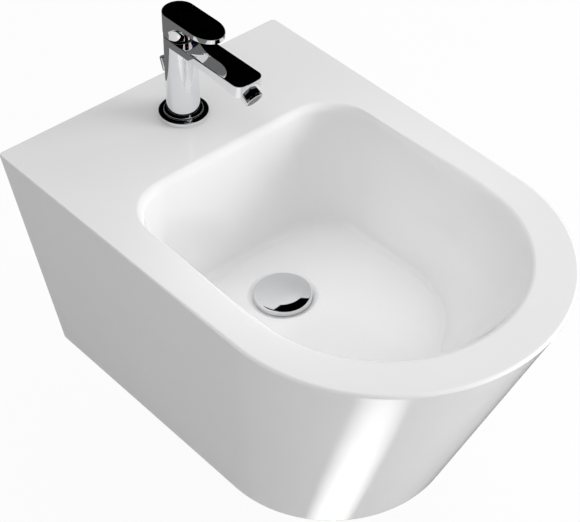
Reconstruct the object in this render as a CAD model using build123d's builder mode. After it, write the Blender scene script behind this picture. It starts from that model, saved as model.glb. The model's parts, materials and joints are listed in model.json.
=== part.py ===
from build123d import *
import os
from math import atan, cos, radians, sin, sqrt, tan

# A wall-hung bidet with its single-lever mixer tap and its pop-up waste, in millimetres.
# The wall is the plane y = 0 and the bidet stands out from it towards -Y. The origin is
# midway between the two wall fixings, so the rim is above z = 0 and the foot is below it.

os.makedirs("parts", exist_ok=True)

# Clearances: between moving pieces, between pieces slipped together, and in a thread
running = 0.3
slip = 0.15
thread_gap = 0.1
face_gap = 0.05

# The vitreous china casting
body_width = 361.0
body_length = 548.0
body_height = 285.0
fixing_drop = 80.0
fixing_spacing = 180.0
foot_inset_side = 52.0
foot_inset_front = 123.0
back_corner = 4.0
rim_round = 3.0
foot_round = 4.0
shell_wall = 10.0
deck_thickness = 16.0
back_web = 14.0
foot_lip = 30.0
foot_lip_thickness = 12.0
foot_opening_corner = 24.0
pipe_opening_width = 124.0
pipe_opening_below_fixings = 46.0
pipe_opening_corner = 18.0

# The bowl, measured where its walls would meet the plane of the rim
side_rim = 41.0
front_rim = 47.0
deck_depth = 146.0
bowl_depth = 146.0
bowl_corner = 55.0
wall_draft_side = 15.0
wall_draft_front = 95.5
wall_draft_back = 5.5
corner_loss = 10.0
bowl_wall = 10.0
lip_round = 9.0
floor_round = 8.5
floor_fall = 0.028

# The drain in the bowl floor
drain_setback = 223.0
drain_hole_d = 46.0
drain_recess_d = 74.0
drain_seat_d = 61.0
drain_seat_depth = 3.5
recess_lead = 2.0
drain_boss_d = 72.0
drain_boss_height = 5.0

# The wall fixing bushes, for M12 studs
bush_bore_d = 12.5
bush_sleeve_d = 20.0
bush_flange_d = 32.0
bush_flange_thickness = 3.0

# The tap body and its spout, heights from the deck
tap_setback = 70.0
tap_hole_d = 35.0
tap_foot_r = 17.4
tap_top_r = 16.7
tap_height = 97.2
tap_lift = 0.3
spigot_r = 15.8
spigot_depth = 5.0
spout_width = 33.0
spout_reach = 110.0
spout_belly = 2.6
spout_corner = 9.0
spout_front_arc = 60.0
spout_bevel = 0.6
# Distances out from the tap axis, each with the height of the lower edge there
spout_edges = [(0, 88.6), (58, 88.2), (80, 87), (96, 85.2), (111, 83.3)]

# The base flange and its seal
flange_r = 25.9
flange_height = 5.0
flange_step_r = 20.2
flange_step_height = 7.4
flange_edge_round = 0.8
base_seal_inner_r = 19.0
base_seal_outer_r = 23.0
base_seal_groove = 1.2

# The fixing of the tap to the deck
stud_d = 8.0
stud_offset = 10.6
stud_thread_depth = 14.0
stud_below_nut = 8.0
stud_chamfer = 0.8
horseshoe_r = 25.0
horseshoe_gap_width = 26.0
horseshoe_gap_start = 5.0
gasket_thickness = 3.0
washer_thickness = 2.5
stud_nut_flats = 13.0
stud_nut_height = 6.5

# The threaded hose inlets under the tap and the ways up to the cartridge
inlet_spacing = 16.0
inlet_back = 0.5
inlet_r = 4.5
inlet_depth = 12.0
waterway_r = 3.0

# The cartridge, heights from the deck
chamber_floor = 58.0
chamber_r = 12.9
cartridge_wall = 1.9
cartridge_floor = 3.0
cartridge_top = 91.5
disc_r = 7.0
disc_thickness = 3.5
disc_port_r = 2.4
disc_port_offset = 4.8
disc_carrier_r = 5.6
disc_carrier_top = 78.5
rotor_r = 9.6
rotor_bottom = 80.0
rotor_top = 90.0
rotor_neck_r = 8.2
nut_r = 14.6
nut_bore_r = 9.4
nut_lip = 0.5
nut_notches = 6
nut_notch_width = 4.4
nut_notch_depth = 1.6
waterway_width = 17.0
waterway_height = 3.0
waterway_corner = 1.35
window_width = 13.6
tilt_height = 86.0
spindle_side = 7.0
spindle_top = 113.0
spindle_ball_r = 2.8
spindle_neck_r = 1.9
spindle_neck_top = 5.0
spindle_ball_drop = 10.5
spindle_pin_d = 3.0
spindle_pin_inset = 0.6
spindle_chamfer = 0.6
slot_half_length = 6.6

# The lever, heights from the deck
lever_top = 124.2
lever_plate = 5.4
lever_half_width = 17.05
lever_front_centre = 38.4
lever_front_reach = 25.2
lever_bevel = 0.6
lever_gap = 1.4
lever_tilt_limit = 15.0
hub_bore_r = 15.2
hub_bore_top = 114.5
hub_flare_start = 105.0
hub_flare_reach = 14.0
hub_boss_r = 8.4
hub_boss_bottom = 102.0
screw_d = 5.0
screw_length = 5.5
screw_key = 2.5
screw_height = 107.5
index_dot_d = 1.8
index_dot_depth = 0.8
index_dot_spacing = 7.0
index_dot_height = 103.5

# The swivelling nozzle at the tip of the spout
nozzle_dip = 30.0
nozzle_ball_reach = 97.0
nozzle_ball_height = 86.6
nozzle_ball_r = 5.0
nozzle_neck_r = 3.2
nozzle_water_r = 1.9
nozzle_barrel_start = 6.0
nozzle_barrel_end = 18.0
nozzle_barrel_r = 9.75
nozzle_flats = 17.8
nozzle_flats_turn = 15.0
nozzle_end_ring = 2.5
nozzle_rear_chamfer = 2.0
seat_ring_wall = 1.25
seat_ring_half = 2.9
socket_r = 7.6
socket_shoulder = 4.95
socket_inner_r = 5.6
socket_depth = 9.0
socket_wall = 2.1
socket_front = 3.3
retainer_back = 0.4
retainer_front = 3.6
pocket_flare = 0.43
pocket_margin = 1.0
pocket_length = 14.0
oring_r = 6.1
oring_section_r = 0.9
aerator_r = 7.8
aerator_depth = 6.0
aerator_recess = 0.4
aerator_face = 1.2
aerator_skirt = 1.2
aerator_hole_d = 1.3
aerator_ring_holes = [(2.5, 6), (5.0, 12)]

# The pull rod behind the tap
lift_rod_d = 4.0
lift_rod_lean = 19.0
lift_rod_offset = 11.6
lift_bore_length = 60.0
lift_rod_knob_height = 42.0
lift_knob_d = 7.4
lift_knob_length = 15.5
lift_knob_round = 0.925
lift_travel = 12.0
clamp_side = 13.0
clamp_corner = 1.5
clamp_height = 24.0
clamp_screw_d = 4.0
clamp_screw_head = 7.0
clamp_eye_play = 1.7
clamp_below_eye = 7.0
clamp_rod_end = 6.0
clamp_screw_height = 13.0

# The waste: flange, body and tailpiece
waste_flange_r = 28.2
waste_flange_thickness = 1.8
flange_seal_thickness = 1.5
flange_seal_width = 4.5
neck_r = 17.4
neck_bore_r = 15.6
neck_length = 20.0
guide_bar = 3.0
guide_boss_r = 6.5
guide_drop = 8.0
waste_body_r = 20.8
waste_gasket_thickness = 4.0
waste_gasket_r = 31.0
waste_nut_r = 31.0
waste_nut_height = 8.0
waste_nut_lugs = 6
port_drop = 44.0
waste_body_below_port = 18.0
port_r = 9.5
port_bore_r = 7.2
port_reach = 34.0
port_passage_r = 5.0
tail_r = 16.0
tail_wall = 1.3
tail_overlap = 9.0
tail_neck_r = 15.6
tail_shoulder_drop = 1.0
tail_above_foot = 22.0

# The pivot rod through the side port
pivot_rod_d = 5.0
pivot_rod_chamfer = 0.6
pivot_ball_r = 6.0
pivot_ball_reach = 27.0
pivot_rod_past_stem = 4.5
pivot_rod_past_lift = 12.0
pivot_seat_length = 4.8
pivot_seat_start = 0.6
pivot_seat_bore_r = 4.2
pivot_nut_r = 12.5
pivot_nut_sides = 8
pivot_nut_wall = 2.5
pivot_nut_cover = 10.0
pivot_nut_hole_r = 4.3

# The plug
cap_r = 30.5
cap_rise = 5.0
cap_skirt = 1.6
cap_skirt_drop = 2.0
cap_underside = 0.6
cap_dome = 0.9
cap_edge_round = 2.2
plug_seal_r = 26.0
plug_seal_width = 4.0
plug_seal_groove = 1.0
stem_r = 4.0
stem_eye_width = 9.0
stem_eye_thickness = 5.0
stem_eye_play = 0.5
stem_tip = 6.0
stem_in_cap = 2.4

# Working planes and axes
deck = fixing_drop
foot = deck - body_height
bowl_floor = deck - bowl_depth
tap_plane = Plane((0, -tap_setback, deck))
tap_section = Plane((0, -tap_setback, deck), x_dir=(1, 0, 0), z_dir=(0, -1, 0))
tap_axis = Axis((0, -tap_setback, deck), (0, 0, 1))
tilt_plane = Plane((0, -tap_setback, deck + tilt_height), x_dir=(0, 1, 0), z_dir=(1, 0, 0))
drain_plane = Plane((0, -drain_setback, bowl_floor))
drain_section = Plane((0, -drain_setback, bowl_floor), x_dir=(1, 0, 0), z_dir=(0, -1, 0))
drain_axis = Axis((0, -drain_setback, bowl_floor), (0, 0, 1))

nozzle_c = cos(radians(nozzle_dip))
nozzle_s = sin(radians(nozzle_dip))
nozzle_ball = (0, -tap_setback - nozzle_ball_reach, deck + nozzle_ball_height)
nozzle_plane = Plane(nozzle_ball, x_dir=(1, 0, 0), z_dir=(0, -nozzle_c, -nozzle_s))
nozzle_section = Plane(nozzle_ball, x_dir=(1, 0, 0), z_dir=(0, nozzle_s, -nozzle_c))
nozzle_axis = Axis(nozzle_ball, (0, -nozzle_c, -nozzle_s))

lean_c = cos(radians(lift_rod_lean))
lean_s = sin(radians(lift_rod_lean))
lift_foot = (0, -tap_setback + lift_rod_offset, deck)
lift_plane = Plane(lift_foot, x_dir=(1, 0, 0), z_dir=(0, lean_s, lean_c))

# The pop-up linkage. The eye of the clamp is level with the ball halfway through the
# travel, and the pivot rod swings from just above level to just below it.
port_height = bowl_floor - port_drop
ball_setback = drain_setback - pivot_ball_reach
eye_mid_setback = -lift_foot[1] + (deck - port_height) * tan(radians(lift_rod_lean))
half_rise = lift_travel / 2 * lean_c
half_shift = lift_travel / 2 * lean_s
outer_arm = ball_setback - eye_mid_setback
rest_angle = atan(half_rise / (outer_arm + half_shift))
pushed_angle = atan(half_rise / (outer_arm - half_shift))
pivot_swing = rest_angle + pushed_angle
plug_travel = pivot_ball_reach * (tan(rest_angle) + tan(pushed_angle))
eye_along_rod = -((deck - port_height) / lean_c) + lift_travel / 2
stem_eye_height = port_height - pivot_ball_reach * tan(rest_angle)
pivot_ball = (0, -ball_setback, port_height)
pivot_dir = (0, cos(rest_angle), sin(rest_angle))
pivot_plane = Plane(pivot_ball, x_dir=(1, 0, 0), z_dir=pivot_dir)
port_plane = Plane(pivot_ball, x_dir=(1, 0, 0), z_dir=(0, 1, 0))
print(f"pivot swing {pivot_swing:.4f} rad, rest {rest_angle:.4f} rad, plug travel {plug_travel:.3f} mm")


def d_outline(width, back, front, corner, height):
    """A plan with a straight back, rounded back corners, straight sides and a half-round front."""
    half = width / 2
    with BuildSketch(Plane.XY.offset(height)) as plan:
        with BuildLine():
            Polyline((half, half - front), (half, -back), (-half, -back), (-half, half - front))
            ThreePointArc((half, half - front), (0, -front), (-half, half - front))
        make_face()
        if corner > 0:
            fillet(vertices().sort_by(Axis.Y)[-2:], corner)
    return plan.sketch


def shell_outline(drop, inset=0.0, back=0.0, corner=0.0):
    """The plan of the casting at a depth below the rim, drawn in by an inset."""
    share = drop / body_height
    width = body_width - 2 * (foot_inset_side * share + inset)
    front = body_length - foot_inset_front * share - inset
    return d_outline(width, back, front, corner, deck - drop)


def bowl_outline(drop, grow=0.0):
    """The plan of the bowl at a depth below the rim, widened by the wall on its outside."""
    share = drop / bowl_depth
    width = body_width - 2 * (side_rim + wall_draft_side * share - grow)
    back = deck_depth + wall_draft_back * share - grow
    front = body_length - front_rim - wall_draft_front * share + grow
    corner = bowl_corner - corner_loss * share + grow
    return d_outline(width, back, front, corner, deck - drop)


def outline(points, plane):
    """A closed outline through points on a plane, such as the half section of a turned piece."""
    with BuildSketch(plane) as section:
        with BuildLine():
            Polyline(*points, close=True)
        make_face()
    return section.sketch


def ring(plane, outer, inner):
    """A flat ring on a plane."""
    with BuildSketch(plane) as section:
        Circle(outer)
        Circle(inner, mode=Mode.SUBTRACT)
    return section.sketch


# The space inside the bowl: drafted walls down to a floor that falls gently to the back
with BuildPart() as bowl_space:
    loft([bowl_outline(0), bowl_outline(bowl_depth + bowl_wall)])
    floor_plane = Plane((0, -drain_setback, bowl_floor), z_dir=(0, floor_fall, 1))
    split(bisect_by=floor_plane, keep=Keep.TOP)
    fillet(bowl_space.faces().sort_by(Axis.Z)[0].edges(), floor_round)

# The outside of the bowl, hung from the deck, with the boss under its drain
bowl_top = deck - deck_thickness
with BuildPart() as bowl_outside:
    loft([bowl_outline(deck_thickness, bowl_wall), bowl_outline(bowl_depth + bowl_wall, bowl_wall)])
    with BuildSketch(drain_plane.offset(-bowl_wall - drain_boss_height)):
        Circle(drain_boss_d / 2)
    extrude(amount=bowl_wall)

# The casting: a tapered shell, open behind and below, with the bowl hung from its deck
with BuildPart() as casting:
    past_wall = 1.0
    loft([shell_outline(0, back=-past_wall), shell_outline(body_height, back=-past_wall)])
    split(bisect_by=Plane.XZ, keep=Keep.TOP)
    back_edges = casting.edges().filter_by(lambda e: abs(e.center().Y) < past_wall)
    upright_edges = back_edges.filter_by(lambda e: foot + past_wall < e.center().Z < deck - past_wall)
    fillet(upright_edges, back_corner)
    fillet(casting.faces().sort_by(Axis.Z)[-1].edges(), rim_round)
    fillet(casting.faces().sort_by(Axis.Z)[0].edges(), foot_round)
    hollow_top = shell_outline(deck_thickness, shell_wall, back_web, foot_opening_corner)
    lip_drop = body_height - foot_lip_thickness
    hollow_foot = shell_outline(lip_drop, shell_wall, back_web, foot_opening_corner)
    loft([hollow_top, hollow_foot], mode=Mode.SUBTRACT)
    add(bowl_outside.part)
    add(bowl_space.part, mode=Mode.SUBTRACT)
    lip = casting.faces().sort_by(Axis.Z)[-1].inner_wires()[0]
    fillet(lip.edges(), lip_round)
    # The drain: a sloping recess, a flat seat for the flange and the hole
    recess = [
        (0, recess_lead),
        (drain_recess_d / 2 + recess_lead, recess_lead),
        (drain_recess_d / 2, 0),
        (drain_seat_d / 2, -drain_seat_depth),
        (0, -drain_seat_depth),
    ]
    revolve(outline(recess, drain_section), axis=drain_axis, mode=Mode.SUBTRACT)
    with Locations(drain_plane):
        Cylinder(drain_hole_d / 2, 4 * bowl_wall, mode=Mode.SUBTRACT)
    # The hole for the tap
    with Locations(tap_plane):
        Cylinder(tap_hole_d / 2, 3 * deck_thickness, mode=Mode.SUBTRACT)
    # The opening in the foot, for the trap and the spanners
    foot_opening = shell_outline(body_height, foot_lip, foot_lip, foot_opening_corner)
    extrude(foot_opening, amount=2 * foot_lip_thickness, dir=(0, 0, 1), mode=Mode.SUBTRACT)
    # The opening in the back for the waste and the supply pipes
    opening_top = -pipe_opening_below_fixings
    opening_bottom = foot + foot_lip_thickness + shell_wall
    with BuildSketch(Plane.XZ):
        with Locations((0, (opening_top + opening_bottom) / 2)):
            RectangleRounded(pipe_opening_width, opening_top - opening_bottom, pipe_opening_corner)
    extrude(amount=2 * back_web, both=True, mode=Mode.SUBTRACT)
    # The holes for the wall fixings
    with BuildSketch(Plane.XZ):
        with GridLocations(fixing_spacing, 0, 2, 1):
            Circle(bush_sleeve_d / 2 + slip)
    extrude(amount=2 * back_web, both=True, mode=Mode.SUBTRACT)

# The one casting is told apart into simple shapes that touch: the deck, the bowl's walls,
# its floor, the back plate, the foot and the skirt between them. Each bends round one space.
floor_top = bowl_floor + floor_round + drain_seat_depth


def between(low, high):
    """The casting between two heights."""
    with BuildPart() as slab:
        add(casting.part)
        split(bisect_by=Plane.XY.offset(low), keep=Keep.TOP)
        split(bisect_by=Plane.XY.offset(high), keep=Keep.BOTTOM)
    return slab.part


with BuildPart() as bidet_deck:
    add(between(bowl_top, deck + past_wall))

with BuildPart() as bidet_bowl:
    add(bowl_outside.part)
    add(between(floor_top, bowl_top), mode=Mode.INTERSECT)

with BuildPart() as bidet_bowl_floor:
    add(bowl_outside.part)
    add(between(bowl_floor - body_height, floor_top), mode=Mode.INTERSECT)

with BuildPart() as bidet_skirt:
    add(between(foot + foot_lip_thickness, bowl_top))
    add(bowl_outside.part, mode=Mode.SUBTRACT)
    split(bisect_by=Plane.XZ.offset(back_web), keep=Keep.TOP)

with BuildPart() as bidet_back:
    add(between(foot + foot_lip_thickness, bowl_top))
    add(bowl_outside.part, mode=Mode.SUBTRACT)
    split(bisect_by=Plane.XZ.offset(back_web), keep=Keep.BOTTOM)

with BuildPart() as bidet_foot:
    add(between(foot - past_wall, foot + foot_lip_thickness))

# Plastic bushes that line the fixing holes, flanged on the inside


def fixing_bush(side):
    """One bush, on the left (-1) or on the right (1) of the middle."""
    with BuildPart() as bush:
        with BuildSketch(Plane.XZ.offset(face_gap)):
            with Locations((side * fixing_spacing / 2, 0)):
                Circle(bush_sleeve_d / 2)
        extrude(amount=back_web + bush_flange_thickness - face_gap)
        with BuildSketch(Plane.XZ.offset(back_web)):
            with Locations((side * fixing_spacing / 2, 0)):
                Circle(bush_flange_d / 2)
        extrude(amount=bush_flange_thickness)
        with BuildSketch(Plane.XZ):
            with Locations((side * fixing_spacing / 2, 0)):
                Circle(bush_bore_d / 2)
        extrude(amount=back_web + 2 * bush_flange_thickness, mode=Mode.SUBTRACT)
    return bush


fixing_bush_left = fixing_bush(-1)
fixing_bush_right = fixing_bush(1)


def spout_section(reach, edge):
    """The spout cut across: flat top, upright sides and a crowned belly."""
    half = spout_width / 2
    plane = Plane((0, -tap_setback - reach, deck), x_dir=(1, 0, 0), z_dir=(0, -1, 0))
    with BuildSketch(plane) as section:
        with BuildLine():
            Polyline((-half, edge), (-half, tap_height), (half, tap_height), (half, edge))
            ThreePointArc((half, edge), (0, edge - spout_belly), (-half, edge))
        make_face()
    return section.sketch


# The spout: sections lofted out from the tap, trimmed to a rounded end
with BuildPart() as spout:
    loft([spout_section(reach, edge) for reach, edge in spout_edges])
    with BuildSketch(tap_plane.offset(tap_height - spout_width)):
        with BuildLine():
            half = spout_width / 2
            sagitta = spout_front_arc - sqrt(spout_front_arc**2 - half**2)
            corner_y = sagitta - spout_reach
            Polyline((-half, corner_y), (-half, 0), (half, 0), (half, corner_y))
            ThreePointArc((half, corner_y), (0, -spout_reach), (-half, corner_y))
        make_face()
        tips = vertices().sort_by(Axis.Y)[:2]
        fillet(tips, spout_corner)
    extrude(amount=2 * spout_width, mode=Mode.INTERSECT)
    top_face = spout.faces().sort_by(Axis.Z)[-1]
    chamfer(top_face.edges().sort_by(Axis.Y)[:-1], spout_bevel)

# The round housing of the nozzle's ball joint, under the tip of the spout
with BuildPart() as nozzle_housing:
    with BuildSketch(nozzle_plane.offset(-socket_depth - socket_wall)):
        Circle(socket_r + socket_wall)
    extrude(amount=socket_depth + socket_wall + socket_front)
    chamfer(nozzle_housing.edges().sort_by(Axis.Y)[-1], socket_wall)
    split(bisect_by=tap_plane.offset(tap_height - spout_bevel), keep=Keep.BOTTOM)

# The tap body, cast in one with its spout
with BuildPart() as tap_body:
    column = [
        (0, -spigot_depth),
        (spigot_r, -spigot_depth),
        (spigot_r, tap_lift),
        (tap_foot_r, tap_lift),
        (tap_top_r, tap_height),
        (0, tap_height),
    ]
    revolve(outline(column, tap_section), axis=tap_axis)
    add(spout.part)
    add(nozzle_housing.part)
    # The cartridge chamber, the seat of its nut and the ways up to it
    chamber = [
        (0, chamber_floor),
        (chamber_r, chamber_floor),
        (chamber_r, cartridge_top),
        (nut_r + thread_gap, cartridge_top),
        (nut_r + thread_gap, tap_height + 1),
        (0, tap_height + 1),
    ]
    revolve(outline(chamber, tap_section), axis=tap_axis, mode=Mode.SUBTRACT)
    inlet_spots = [(-inlet_spacing / 2, -inlet_back), (inlet_spacing / 2, -inlet_back)]
    with BuildSketch(tap_plane.offset(-spigot_depth - 1)):
        with Locations(*inlet_spots):
            Circle(inlet_r)
    extrude(amount=inlet_depth + 1, mode=Mode.SUBTRACT)
    with BuildSketch(tap_plane.offset(0)):
        with Locations(*inlet_spots):
            Circle(waterway_r)
    extrude(amount=chamber_floor + 1, mode=Mode.SUBTRACT)
    # The blind hole of the fixing stud
    with BuildSketch(tap_plane.offset(-spigot_depth - 1)):
        with Locations((0, -stud_offset)):
            Circle(stud_d / 2 + thread_gap)
    extrude(amount=stud_thread_depth + 1, mode=Mode.SUBTRACT)
    # The leaning bore of the pull rod
    with BuildSketch(lift_plane.offset(-2 * spigot_depth)):
        Circle(lift_rod_d / 2 + running)
    extrude(amount=2 * spigot_depth + lift_bore_length, mode=Mode.SUBTRACT)
    # The flat waterway along the spout, from the chamber to the nozzle's socket
    water_middle = cartridge_top - running - waterway_height / 2
    water_start = chamber_r - 3
    with BuildSketch(tap_section.offset(water_start)):
        with Locations((0, water_middle)):
            RectangleRounded(waterway_width, waterway_height, waterway_corner)
    extrude(amount=nozzle_ball_reach - water_start - socket_shoulder, mode=Mode.SUBTRACT)
    # The flared pocket in the tip and the socket of the ball joint
    pocket_r = socket_r + socket_wall + pocket_margin
    pocket = [
        (0, socket_front),
        (pocket_r, socket_front),
        (pocket_r + pocket_flare * pocket_length, socket_front + pocket_length),
        (0, socket_front + pocket_length),
    ]
    revolve(outline(pocket, nozzle_section), axis=nozzle_axis, mode=Mode.SUBTRACT)
    with BuildSketch(nozzle_plane.offset(-socket_shoulder)):
        Circle(socket_r)
    extrude(amount=socket_shoulder + socket_front + 1, mode=Mode.SUBTRACT)
    with BuildSketch(nozzle_plane.offset(-socket_depth)):
        Circle(socket_inner_r)
    extrude(amount=socket_depth, mode=Mode.SUBTRACT)

# The chrome flange round the foot of the tap
with BuildPart() as base_flange:
    inner = tap_foot_r + slip
    step = [
        (inner, tap_lift),
        (flange_r, tap_lift),
        (flange_r, flange_height),
        (flange_step_r, flange_height),
        (flange_step_r, flange_step_height),
        (inner, flange_step_height),
    ]
    revolve(outline(step, tap_section), axis=tap_axis)
    rims = base_flange.edges().filter_by(GeomType.CIRCLE).filter_by(
        lambda e: e.center().Z > deck + flange_height - 1 and e.radius > inner + 1
    )
    step_top = deck + flange_step_height - 1
    outer_rims = rims.filter_by(lambda e: e.radius > flange_r - 1 or e.center().Z > step_top)
    fillet(outer_rims, flange_edge_round)
    groove = ring(tap_plane, base_seal_outer_r + slip, base_seal_inner_r - slip)
    extrude(groove, amount=tap_lift + base_seal_groove, mode=Mode.SUBTRACT)

# The rubber seal in the groove under the flange
with BuildPart() as base_seal:
    extrude(ring(tap_plane, base_seal_outer_r, base_seal_inner_r), amount=tap_lift + base_seal_groove)

# Under the deck: rubber horseshoe, steel horseshoe, stud and nut
deck_under = -deck_thickness


def horseshoe(height):
    """A washer open towards the back, so the hoses and the pull rod pass through it."""
    with BuildSketch(tap_plane.offset(height)) as section:
        Circle(horseshoe_r)
        with Locations((0, (horseshoe_r - horseshoe_gap_start) / 2 + 1)):
            Rectangle(horseshoe_gap_width, horseshoe_r + horseshoe_gap_start + 2, mode=Mode.SUBTRACT)
        with Locations((0, -stud_offset)):
            Circle(stud_d / 2 + slip, mode=Mode.SUBTRACT)
    return section.sketch


with BuildPart() as mounting_gasket:
    extrude(horseshoe(deck_under - gasket_thickness), amount=gasket_thickness)

with BuildPart() as mounting_washer:
    extrude(horseshoe(deck_under - gasket_thickness - washer_thickness), amount=washer_thickness)

nut_bottom = deck_under - gasket_thickness - washer_thickness - stud_nut_height
with BuildPart() as mounting_nut:
    with BuildSketch(tap_plane.offset(nut_bottom)):
        with Locations((0, -stud_offset)):
            RegularPolygon(stud_nut_flats / 2, 6, major_radius=False)
            Circle(stud_d / 2 + thread_gap, mode=Mode.SUBTRACT)
    extrude(amount=stud_nut_height)

with BuildPart() as mounting_stud:
    stud_top = stud_thread_depth - spigot_depth - 1
    with BuildSketch(tap_plane.offset(nut_bottom - stud_below_nut)):
        with Locations((0, -stud_offset)):
            Circle(stud_d / 2)
    extrude(amount=stud_top - nut_bottom + stud_below_nut)
    chamfer(mounting_stud.edges(), stud_chamfer)

# The cartridge: its cup, two ceramic discs, the rotor that turns and the spindle that tilts
cup_r = chamber_r - slip
cup_bore = cup_r - cartridge_wall
disc_floor = chamber_floor + face_gap + cartridge_floor
port_spots = [(-disc_port_offset, -inlet_back), (disc_port_offset, -inlet_back)]
with BuildPart() as cartridge_cup:
    cup = [
        (0, chamber_floor + face_gap),
        (cup_r, chamber_floor + face_gap),
        (cup_r, cartridge_top),
        (rotor_neck_r + running, cartridge_top),
        (rotor_neck_r + running, rotor_top + running),
        (cup_bore, rotor_top + running),
        (cup_bore, disc_floor),
        (0, disc_floor),
    ]
    revolve(outline(cup, tap_section), axis=tap_axis)
    with BuildSketch(tap_plane.offset(chamber_floor)):
        with Locations(*port_spots):
            Circle(disc_port_r)
    extrude(amount=cartridge_floor + 1, mode=Mode.SUBTRACT)
    # The outlet window, opposite the waterway of the spout
    with BuildSketch(tap_section.offset(cup_bore - 2)):
        with Locations((0, water_middle - running)):
            RectangleRounded(window_width, waterway_height, waterway_corner)
    extrude(amount=3 * cartridge_wall, mode=Mode.SUBTRACT)

with BuildPart() as fixed_disc:
    with BuildSketch(tap_plane.offset(disc_floor + face_gap)):
        Circle(cup_bore - slip)
        with Locations(*port_spots):
            Circle(disc_port_r, mode=Mode.SUBTRACT)
    extrude(amount=disc_thickness)

moving_disc_bottom = disc_floor + disc_thickness + 2 * face_gap
ball_height = tilt_height - spindle_ball_drop
with BuildPart() as moving_disc:
    with BuildSketch(tap_plane.offset(moving_disc_bottom)):
        Circle(disc_r)
    extrude(amount=disc_thickness)
    with BuildSketch(tap_plane.offset(moving_disc_bottom + disc_thickness)):
        Circle(disc_carrier_r)
    extrude(amount=disc_carrier_top - moving_disc_bottom - disc_thickness)
    with BuildSketch(tap_plane.offset(ball_height - spindle_ball_r - running)):
        Circle(spindle_ball_r + running)
    extrude(amount=disc_carrier_top, mode=Mode.SUBTRACT)

with BuildPart() as cartridge_rotor:
    rotor = [
        (0, rotor_bottom),
        (rotor_r, rotor_bottom),
        (rotor_r, rotor_top),
        (rotor_neck_r, rotor_top),
        (rotor_neck_r, cartridge_top + 1),
        (0, cartridge_top + 1),
    ]
    revolve(outline(rotor, tap_section), axis=tap_axis)
    with BuildSketch(tap_plane.offset(rotor_bottom - 1)):
        Rectangle(spindle_side + 2 * running, 2 * slot_half_length)
    extrude(amount=2 * (rotor_top - rotor_bottom), mode=Mode.SUBTRACT)
    with BuildSketch(tilt_plane):
        Circle(spindle_pin_d / 2 + face_gap)
    extrude(amount=rotor_r + 1, both=True, mode=Mode.SUBTRACT)

with BuildPart() as spindle_pin:
    with BuildSketch(tilt_plane):
        Circle(spindle_pin_d / 2)
    extrude(amount=rotor_r - spindle_pin_inset, both=True)

with BuildPart() as lever_spindle:
    with BuildSketch(tap_plane.offset(tilt_height - spindle_neck_top)):
        Rectangle(spindle_side, spindle_side)
    extrude(amount=spindle_top - tilt_height + spindle_neck_top)
    with BuildSketch(tap_plane.offset(ball_height)):
        Circle(spindle_neck_r)
    extrude(amount=spindle_ball_drop - spindle_neck_top)
    with Locations(tap_plane.offset(ball_height)):
        Sphere(spindle_ball_r)
    with BuildSketch(tilt_plane):
        Circle(spindle_pin_d / 2 + face_gap)
    extrude(amount=spindle_side, both=True, mode=Mode.SUBTRACT)
    top_edges = lever_spindle.faces().sort_by(Axis.Z)[-1].edges()
    chamfer(top_edges, spindle_chamfer)

# The brass nut that holds the cartridge down, with spanner notches in its bore
with BuildPart() as cartridge_nut:
    nut_ring = ring(tap_plane.offset(cartridge_top), nut_r, nut_bore_r)
    extrude(nut_ring, amount=tap_height + nut_lip - cartridge_top)
    with BuildSketch(tap_plane.offset(tap_height + nut_lip - nut_notch_depth)):
        with PolarLocations(nut_bore_r, nut_notches):
            Rectangle(nut_notch_width, nut_notch_width)
    extrude(amount=2 * nut_notch_depth, mode=Mode.SUBTRACT)

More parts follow.
